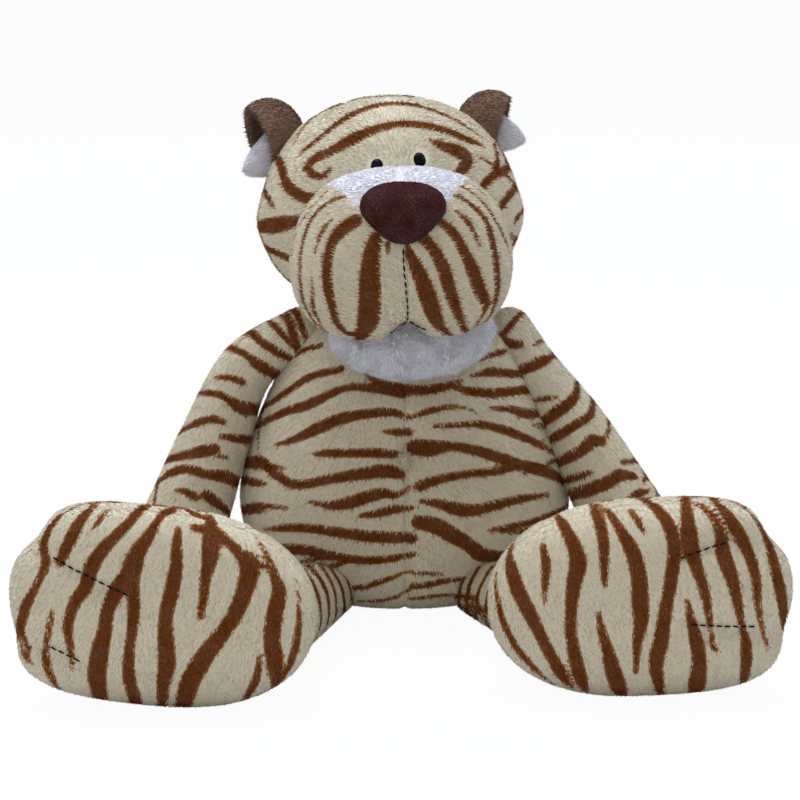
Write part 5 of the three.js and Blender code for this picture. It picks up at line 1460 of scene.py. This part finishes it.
def near_eyes(gap):
    """Picks the points under the eyes and for a gap round them."""
    boxes = [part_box("eye_" + name) for name in SIDES]

    def pick(points):
        found = np.zeros(len(points), bool)
        for low, high in boxes:
            middle, half = (np.array(low) + high) / 2, (np.array(high) - low) / 2 + gap
            half[1] += 4 * MM
            found |= (((points - middle) / half) ** 2).sum(-1) < 1
        return found
    return pick


def on_muzzle(x, z):
    """The point on the front of the muzzle at that place of the head's own frame."""
    frame_of_head = head_frame()
    start, way = frame_of_head @ Vector((x, -300 * MM, z)), frame_of_head.to_3x3() @ Vector((0, 1, 0))
    return forms()["muzzle"].tree.ray_cast(start, way)[:2]


def nose_frame():
    s = settings().muzzle
    hit, normal = on_muzzle(s.nose_offset, s.nose_height)
    across = Vector((0, 0, 1)).cross(normal).normalized()
    return basis(across, normal.cross(across), normal, hit)


def make_muzzle():
    f, s, frame_of_head = forms(), settings().muzzle, head_frame()
    samples = drawn(f["muzzle"], MUZZLE_STROKES)
    samples += edge_bands(f["muzzle"], muzzle_form, [.015, .07, .43, .485], .2, .85, 7, 13,
                          frame_of_head)
    edge = np.array([0, -s.forward - s.bridge_back, s.bridge_foot])
    over = np.array([0, math.sin(s.bridge_tilt), math.cos(s.bridge_tilt)])

    def owner(p):
        rise = (p - edge) @ over
        if rise > 0 and abs(p[0] - s.nose_offset) < s.bridge_half_width + s.bridge_flare * rise:
            return "bridge"
        return "left" if p[0] > 0 else "right"
    planes = [(edge, over), ((0, 0, 0), (1, 0, 0))]
    planes += [(edge + [s.nose_offset + side * s.bridge_half_width, 0, 0],
                [side, 0, 0] - s.bridge_flare * over) for side in (-1, 1)]
    panels = shell(f["muzzle"], owner, planes, frame_of_head)
    comb = head_comb(lambda p: np.stack([p[:, 0] * 4, np.zeros(len(p)), np.full(len(p), .03)], -1))
    nose = Form(nose_form, 72, 36, nose_frame())
    bare = hidden_in(3, "head") + hidden_in(4, "chin") + [lambda p: nose.inside(p, 2 * MM)]
    nodes = {"bridge": ["muzzle_bridge", "muzzle_stuffing"], "left": ["muzzle_cheek_left"],
             "right": ["muzzle_cheek_right"]}
    for name, panel in panels.items():
        white = name == "bridge"
        dress("muzzle_" + name + "_plush", panel, "white" if white else "striped", "head",
              nodes[name], comb, () if white else samples, bare)
    down = -np.array(nose_frame().to_3x3())[:, 1]
    dress("nose_padding", shell(nose)[""], "nose", "head", ["nose_pad"], combed(down),
          bare=hidden_in(2, "muzzle"), length_m=settings().pile.nose, density_share=1.6,
          width_share=.8)
    noise.seed_set(settings().pile.seed)  # noise_vector would take its offsets from the clock
    clump = np.array([noise.noise_vector(Vector(p) / (11 * MM)) for p in f["chin"].points])

    def chin_comb(p):
        spread = np.stack([(p[:, 0] - .005) * 8, np.full(len(p), -.3), np.full(len(p), -.8)], -1)
        return spread + clump * 1.6
    dress("chin_plush", shell(f["chin"])[""], "white", "head", ["chin_skin", "chin_stuffing"],
          chin_comb, bare=hidden_in(4, "head", "muzzle"), length_m=settings().pile.chin,
          tall=lambda p: .8 + .5 * np.abs(rough(p, 8 * MM)), density_share=1.2, width_share=1.2,
          lean=45, stray=.3)
    seam = [[seen_at(f["muzzle"], x, y) for x, y in route] for route in MOUTH_ROUTES]
    sew("mouth_stitching", f["muzzle"], seam, 1.2 * MM,
        ["mouth_stitch", "lip_stitch_left", "lip_stitch_right"], "head")


def make_ears():
    s = settings().ears
    rim = math.acos(-s.mouth) / math.pi

    def cupped(low, high):
        """A cup whose outside is the ear's form times low, and its inside the form times high."""
        def place(turn, rise):
            outer = ear_form(turn, np.minimum(rise, .5) * 2 * rim) * low
            inner = ear_form(turn, (1 - np.maximum(rise, .5)) * 2 * rim) * high
            return np.where((rise < .5)[:, None], outer, inner)
        return place
    wall, gap = s.wall, s.wall + .3 * MM
    cup = cupped([1, 1, 1], [1 - wall / s.half_width, 1 - wall / s.half_width, 1 - wall / s.depth])
    foot, deep = 1 - gap / s.half_width, 1 - gap / s.depth
    lining = cupped([foot, foot, deep], [foot * .95, foot * .95, deep * .95])
    half = np.array([s.half_height, s.half_width, s.depth])
    for name, side in SIDES.items():
        matrix, body = ear_frame(name), "ear_" + name
        ahead = combed(np.array(matrix.to_3x3())[:, 2])
        back = matrix.inverted()
        inside = lambda p: ((moved(p, back) / half) ** 2).sum(-1) < .93
        dress("ear_back_" + name + "_plush", shell(Form(cup, 56, 40, matrix))[""], "brown", body,
              ["ear_back_" + name], ahead, bare=hidden_in(2, "head") + [inside], density_share=1.2,
              stray=.25)
        drop = side * getattr(s, "tuft_drop_" + name)

        def tuft(turn, rise):
            across, up = circle(turn)
            swell = s.tuft_radius * np.sqrt(np.maximum(np.sin(np.pi * rise), 0)) * (1 - .35 * rise) * 1.35
            return np.stack([drop * np.sqrt(rise) + 1.1 * swell * across, .85 * swell * up,
                             s.wall - s.depth * .8 + (s.tuft_length - 6 * MM) * rise], -1)
        # The lining in the cup is dressed in brown plush: partly the ear's own brown where its rim turns in,
        # partly painted shade for the dark inside the cup
        dress("ear_lining_" + name + "_plush", shell(Form(lining, 48, 32, matrix))[""], "brown", body,
              [], ahead, length_m=settings().pile.length * 1.5, stray=.25)
        dress("ear_tuft_" + name, shell(Form(tuft, 48, 32, matrix))[""], "white", body,
              ["ear_lining_" + name], ahead, length_m=settings().pile.ear, density_share=1.6, lean=80,
              stray=.14)


def gathered(name, centre, radius, node, body):
    """The gathered end of a limb: a ball of cloth with folds that run to its thread."""
    folds = 14

    def ball(turn, rise):
        across, back = circle(turn)
        fold = 1 + .05 * np.cos(2 * np.pi * turn * folds) * np.sin(np.pi * rise)
        out = radius * .985 * np.sin(np.pi * rise) * fold
        return np.stack([out * across, out * back, -radius * np.cos(np.pi * rise)], -1) + centre
    form = Form(ball, 84, 28)
    obj = new_object(name, form.points, form.faces, materials()["striped"])
    put(obj.data, "stripe", np.full(len(form.points), NO_STRIPE))
    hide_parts(node)
    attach(obj, body)


def make_arms():
    f, s = forms(), settings().limbs
    for name, side in SIDES.items():
        form = f["arm_" + name]
        samples = drawn(form, ARM_STROKES[name])
        samples += back_bands(form, arm_form(name), np.arange(.27, .88, .06), .2, 9, 14)
        dress("arm_" + name + "_plush", shell(form)[""], "striped", "arm_" + name,
              ["arm_skin_" + name, "arm_stuffing_" + name], combed((side * .5, 0, -1.0)), samples,
              hidden_in(4, "body") + hidden_in(5, "head"))
        gathered("shoulder_end_" + name, (side * s.shoulder_out, s.shoulder_back, s.shoulder_height),
                 s.shoulder_radius, "shoulder_gather_" + name, "shoulder_" + name)


def make_legs():
    f, s = forms(), settings().limbs
    for name, side in SIDES.items():
        form = f["leg_" + name]
        samples = drawn(form, LEG_STROKES[name])
        samples += back_bands(form, leg_form(name), np.arange(.38, .62, .035), .2, 8, 15,
                              middle=.25 - side * .25)
        way = unit(ankle_of(name) - hip_of(name))
        dress("leg_" + name + "_plush", shell(form)[""], "striped", "leg_" + name,
              ["leg_skin_" + name, "leg_stuffing_" + name], combed(way), samples,
              hidden_in(4, "body") + hidden_in(3, "foot_" + name))
        gathered("hip_end_" + name, hip_of(name), s.shoulder_radius, "hip_gather_" + name,
                 "hip_" + name)


def make_feet():
    f = forms()
    for name, side in SIDES.items():
        form, matrix = f["foot_" + name], foot_frame(name)
        samples = drawn(form, FOOT_STROKES[name])
        samples += edge_bands(form, foot_form(name), np.arange(.02, 1, .07), .4, .14, 10, 16, matrix)
        panels = shell(form, lambda p: "sole" if p[2] > 0 else "upper", [((0, 0, 0), (0, 0, 1))],
                       matrix, pinch=lambda p: np.exp(-(p[:, 2] / (2 * MM)) ** 2) * .8)
        nodes = {"sole": ["foot_sole_" + name, "foot_stuffing_" + name],
                 "upper": ["foot_upper_" + name]}
        for part, panel in panels.items():
            dress(f"foot_{part}_{name}_plush", panel, "striped", "foot_" + name, nodes[part],
                  combed((side * .3, 0, -1.0)), samples, hidden_in(3, "leg_" + name),
                  length_m=settings().pile.length * settings().pile.foot)
        size = settings().feet
        routes = [[on_sole(form, matrix, x * size.half_length, y * size.width / 2)
                   for x, y in route] for route in TOE_STITCHES[name]]
        sew("toe_stitching_" + name, form, routes, 1 * MM,
            ["toe_stitch_upper_" + name, "toe_stitch_lower_" + name], "foot_" + name)


def on_sole(form, matrix, x, y):
    """The point of the sole at that place of the foot's own frame."""
    start, way = matrix @ Vector((x, y, .2)), matrix.to_3x3() @ Vector((0, 0, -1))
    return np.array(form.tree.ray_cast(start, way)[0])


def make_tail():
    f, s = forms(), settings().limbs
    place, route = tail_form()
    total = np.linalg.norm(np.diff(route[0], axis=0), axis=1).sum()
    start = 1 - s.tail_tip / total
    at = Vector(along(route, np.array([start]))[0])
    ahead = Vector(along(route, np.array([start + .01]))[0]) - at
    strokes = [[(.3 * (ring % 2) + .08 * k, rise + .006 * math.sin(k), width)
                for k, width in enumerate((2, 6, 7, 7, 7, 6, 5, 4, 2))]
               for ring, rise in enumerate((.3, .38, .46, .54, .62))]
    samples = ruled(f["tail"], place, strokes)

    def owner(p):
        beyond = (Vector(p) - at).dot(ahead) > 0 and p[1] > at.y - 20 * MM
        return "tip" if beyond else "skin"
    panels = shell(f["tail"], owner, [(at, ahead)])
    comb = combed((.4, 1.0, -.1))
    dress("tail_plush", panels["skin"], "striped", "tail", ["tail_skin", "tail_stuffing"], comb,
          samples, hidden_in(3, "body"))
    dress("tail_end_plush", panels["tip"], "brown", "tail", ["tail_tip"], comb)
    gathered("tail_end_gather", (0, s.tail_back, s.tail_height), .8 * s.tail_radius, "tail_gather",
             "tail_root")


def make_neck():
    s = settings().head
    gathered("neck_end", (s.neck_x, s.neck_y, s.neck_z), s.neck_radius, "neck_gather", "neck")


def make_trim():
    for name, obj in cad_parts.items():
        if name.startswith("eye_"):
            material = materials()["washer" if "washer" in name else "eye"]
            for slot in obj.material_slots:
                slot.material = material
            if not obj.material_slots:
                obj.data.materials.append(material)


# Stage --------------------------------------------------------------------------------------

# Name, place in metres, watts, breadth in metres and colour of each lamp
LAMPS = [("overhead", (-.2, .25, 2.0), 50, 1.6, (.82, .89, 1)),
         ("front", (-.5, -2.4, 1.6), 10, 2.0, (1, .94, .80)),
         ("left_rim", (-1.6, .4, .9), 7, 1.0, (.78, .87, 1)),
         ("right_rim", (1.6, .4, .9), 7, 1.0, (.78, .87, 1))]
LAMP_AIM = Vector((0, 0, .15))
SOFT_LIGHT, FLOOR_GLOW = .40, .95  # strength of the room's light, share of the floor seen as white
FLOOR_HALF, SENSOR_MM, FAR_CLIP = 9.0, 36, 20


def make_stage():
    s = settings().camera
    world = bpy.context.scene.world or bpy.data.worlds.new("studio")
    bpy.context.scene.world = world
    world.use_nodes = True
    nodes, links = world.node_tree.nodes, world.node_tree.links
    nodes.clear()
    out = nodes.new("ShaderNodeOutputWorld")
    path = nodes.new("ShaderNodeLightPath")
    seen = nodes.new("ShaderNodeMath")
    seen.operation = "MAXIMUM"
    mix = nodes.new("ShaderNodeMixShader")
    soft, white = nodes.new("ShaderNodeBackground"), nodes.new("ShaderNodeBackground")
    for shader, strength in ((soft, SOFT_LIGHT), (white, 1)):
        shader.inputs["Color"].default_value = (1, 1, 1, 1)
        shader.inputs["Strength"].default_value = strength
    links.new(path.outputs["Is Camera Ray"], seen.inputs[0])
    links.new(path.outputs["Is Glossy Ray"], seen.inputs[1])
    links.new(seen.outputs[0], mix.inputs[0])
    links.new(soft.outputs[0], mix.inputs[1])
    links.new(white.outputs[0], mix.inputs[2])
    links.new(mix.outputs[0], out.inputs["Surface"])
    paper = plain_material("studio_paper", (.8, .8, .8), 1, gloss=0)
    corners = [(x * FLOOR_HALF, y * FLOOR_HALF, 0) for x, y in ((-1, -1), (1, -1), (1, 1), (-1, 1))]
    floor = new_object("studio_floor", corners, [(0, 1, 2, 3)], paper)
    nodes, links = paper.node_tree.nodes, paper.node_tree.links
    path, glow = nodes.new("ShaderNodeLightPath"), nodes.new("ShaderNodeEmission")
    mix, part = nodes.new("ShaderNodeMixShader"), nodes.new("ShaderNodeMath")
    part.operation = "MULTIPLY"
    part.inputs[1].default_value = FLOOR_GLOW
    links.new(path.outputs["Is Camera Ray"], part.inputs[0])
    links.new(part.outputs[0], mix.inputs[0])
    links.new(nodes["Principled BSDF"].outputs[0], mix.inputs[1])
    links.new(glow.outputs[0], mix.inputs[2])
    links.new(mix.outputs[0], nodes["Material Output"].inputs["Surface"])
    for label, place, strength, breadth, tint in LAMPS:
        lamp = bpy.data.lights.new(label, "AREA")
        lamp.energy, lamp.size, lamp.color = strength, breadth, tint
        obj = bpy.data.objects.new("lamp_" + label, lamp)
        obj.location = place
        obj.rotation_euler = (LAMP_AIM - Vector(place)).to_track_quat("-Z", "Y").to_euler()
        bpy.context.collection.objects.link(obj)
    camera = bpy.data.cameras.new("camera")
    camera.sensor_width = SENSOR_MM
    camera.lens = s.focal / PICTURE * SENSOR_MM
    camera.shift_x = (PICTURE / 2 - s.middle) / PICTURE
    camera.clip_end = FAR_CLIP
    obj = bpy.data.objects.new("camera", camera)
    ahead = Vector((0, math.cos(s.elevation), -math.sin(s.elevation)))
    obj.location = Vector((0, 0, s.aim)) - ahead * s.distance
    obj.rotation_euler = (math.pi / 2 - s.elevation, 0, 0)
    bpy.context.collection.objects.link(obj)
    bpy.context.scene.camera = obj
    bpy.context.scene.view_settings.view_transform = "Standard"


# Operators ----------------------------------------------------------------------------------

class PLUSH_OT_body(Operator):
    """Makes the two halves of the body and its seat panel"""
    bl_idname = "plush.body"
    bl_label = "Sew body"
    bl_options = {"REGISTER", "UNDO"}

    def execute(self, context):
        make_body()
        return {"FINISHED"}


class PLUSH_OT_neck(Operator):
    """Makes the gathered neck"""
    bl_idname = "plush.neck"
    bl_label = "Gather neck"
    bl_options = {"REGISTER", "UNDO"}

    def execute(self, context):
        make_neck()
        return {"FINISHED"}


class PLUSH_OT_head(Operator):
    """Makes the crown gusset and the sides of the head"""
    bl_idname = "plush.head"
    bl_label = "Sew head"
    bl_options = {"REGISTER", "UNDO"}

    def execute(self, context):
        make_head()
        return {"FINISHED"}


class PLUSH_OT_muzzle(Operator):
    """Makes the bridge, cheeks, nose and chin"""
    bl_idname = "plush.muzzle"
    bl_label = "Sew muzzle"
    bl_options = {"REGISTER", "UNDO"}

    def execute(self, context):
        make_muzzle()
        return {"FINISHED"}


class PLUSH_OT_ears(Operator):
    """Makes the ears and their white linings"""
    bl_idname = "plush.ears"
    bl_label = "Sew ears"
    bl_options = {"REGISTER", "UNDO"}

    def execute(self, context):
        make_ears()
        return {"FINISHED"}


class PLUSH_OT_arms(Operator):
    """Makes the arms and their gathered shoulder ends"""
    bl_idname = "plush.arms"
    bl_label = "Sew arms"
    bl_options = {"REGISTER", "UNDO"}

    def execute(self, context):
        make_arms()
        return {"FINISHED"}


class PLUSH_OT_legs(Operator):
    """Makes the legs and their gathered hip ends"""
    bl_idname = "plush.legs"
    bl_label = "Sew legs"
    bl_options = {"REGISTER", "UNDO"}

    def execute(self, context):
        make_legs()
        return {"FINISHED"}


class PLUSH_OT_feet(Operator):
    """Makes the soles and uppers of the feet"""
    bl_idname = "plush.feet"
    bl_label = "Sew feet"
    bl_options = {"REGISTER", "UNDO"}

    def execute(self, context):
        make_feet()
        return {"FINISHED"}


class PLUSH_OT_tail(Operator):
    """Makes the tail, its tip and its gathered root"""
    bl_idname = "plush.tail"
    bl_label = "Sew tail"
    bl_options = {"REGISTER", "UNDO"}

    def execute(self, context):
        make_tail()
        return {"FINISHED"}


class PLUSH_OT_trim(Operator):
    """Gives the eyes and washers their materials"""
    bl_idname = "plush.trim"
    bl_label = "Finish trim"
    bl_options = {"REGISTER", "UNDO"}

    def execute(self, context):
        make_trim()
        return {"FINISHED"}


class PLUSH_OT_stage(Operator):
    """Makes the floor, lights and camera"""
    bl_idname = "plush.stage"
    bl_label = "Set up stage"
    bl_options = {"REGISTER", "UNDO"}

    def execute(self, context):
        make_stage()
        return {"FINISHED"}


OPERATORS = [PLUSH_OT_body, PLUSH_OT_neck, PLUSH_OT_head, PLUSH_OT_muzzle, PLUSH_OT_ears, PLUSH_OT_arms,
             PLUSH_OT_legs, PLUSH_OT_feet, PLUSH_OT_tail, PLUSH_OT_trim, PLUSH_OT_stage]


class PLUSH_PT_tiger(Panel):
    """Buttons and sizes of the plush tiger"""
    bl_label = "Plush Tiger"
    bl_idname = "PLUSH_PT_tiger"
    bl_space_type = "VIEW_3D"
    bl_region_type = "UI"
    bl_category = "Plush"

    def draw(self, context):
        layout = self.layout
        for kind in OPERATORS:
            layout.operator(kind.bl_idname)
        for group in ("body", "head", "muzzle", "ears", "limbs", "feet", "pile", "colours", "camera"):
            box = layout.box()
            box.label(text=group.capitalize())
            values = getattr(settings(), group)
            for name in values.bl_rna.properties.keys():
                if name not in ("rna_type", "name"):
                    box.prop(values, name)


CLASSES = [BodySizes, HeadSizes, MuzzleSizes, EarSizes, LimbSizes, FootSizes, PileSizes, Colours,
           CameraSizes, TigerSettings, *OPERATORS, PLUSH_PT_tiger]


def register():
    for kind in CLASSES:
        bpy.utils.register_class(kind)
    bpy.types.Scene.plush_tiger = PointerProperty(type=TigerSettings)


def unregister():
    del bpy.types.Scene.plush_tiger
    for kind in reversed(CLASSES):
        bpy.utils.unregister_class(kind)


def main():
    register()
    for kind in OPERATORS:
        getattr(bpy.ops.plush, kind.bl_idname.split(".")[1])()


if __name__ == "__main__":
    main()
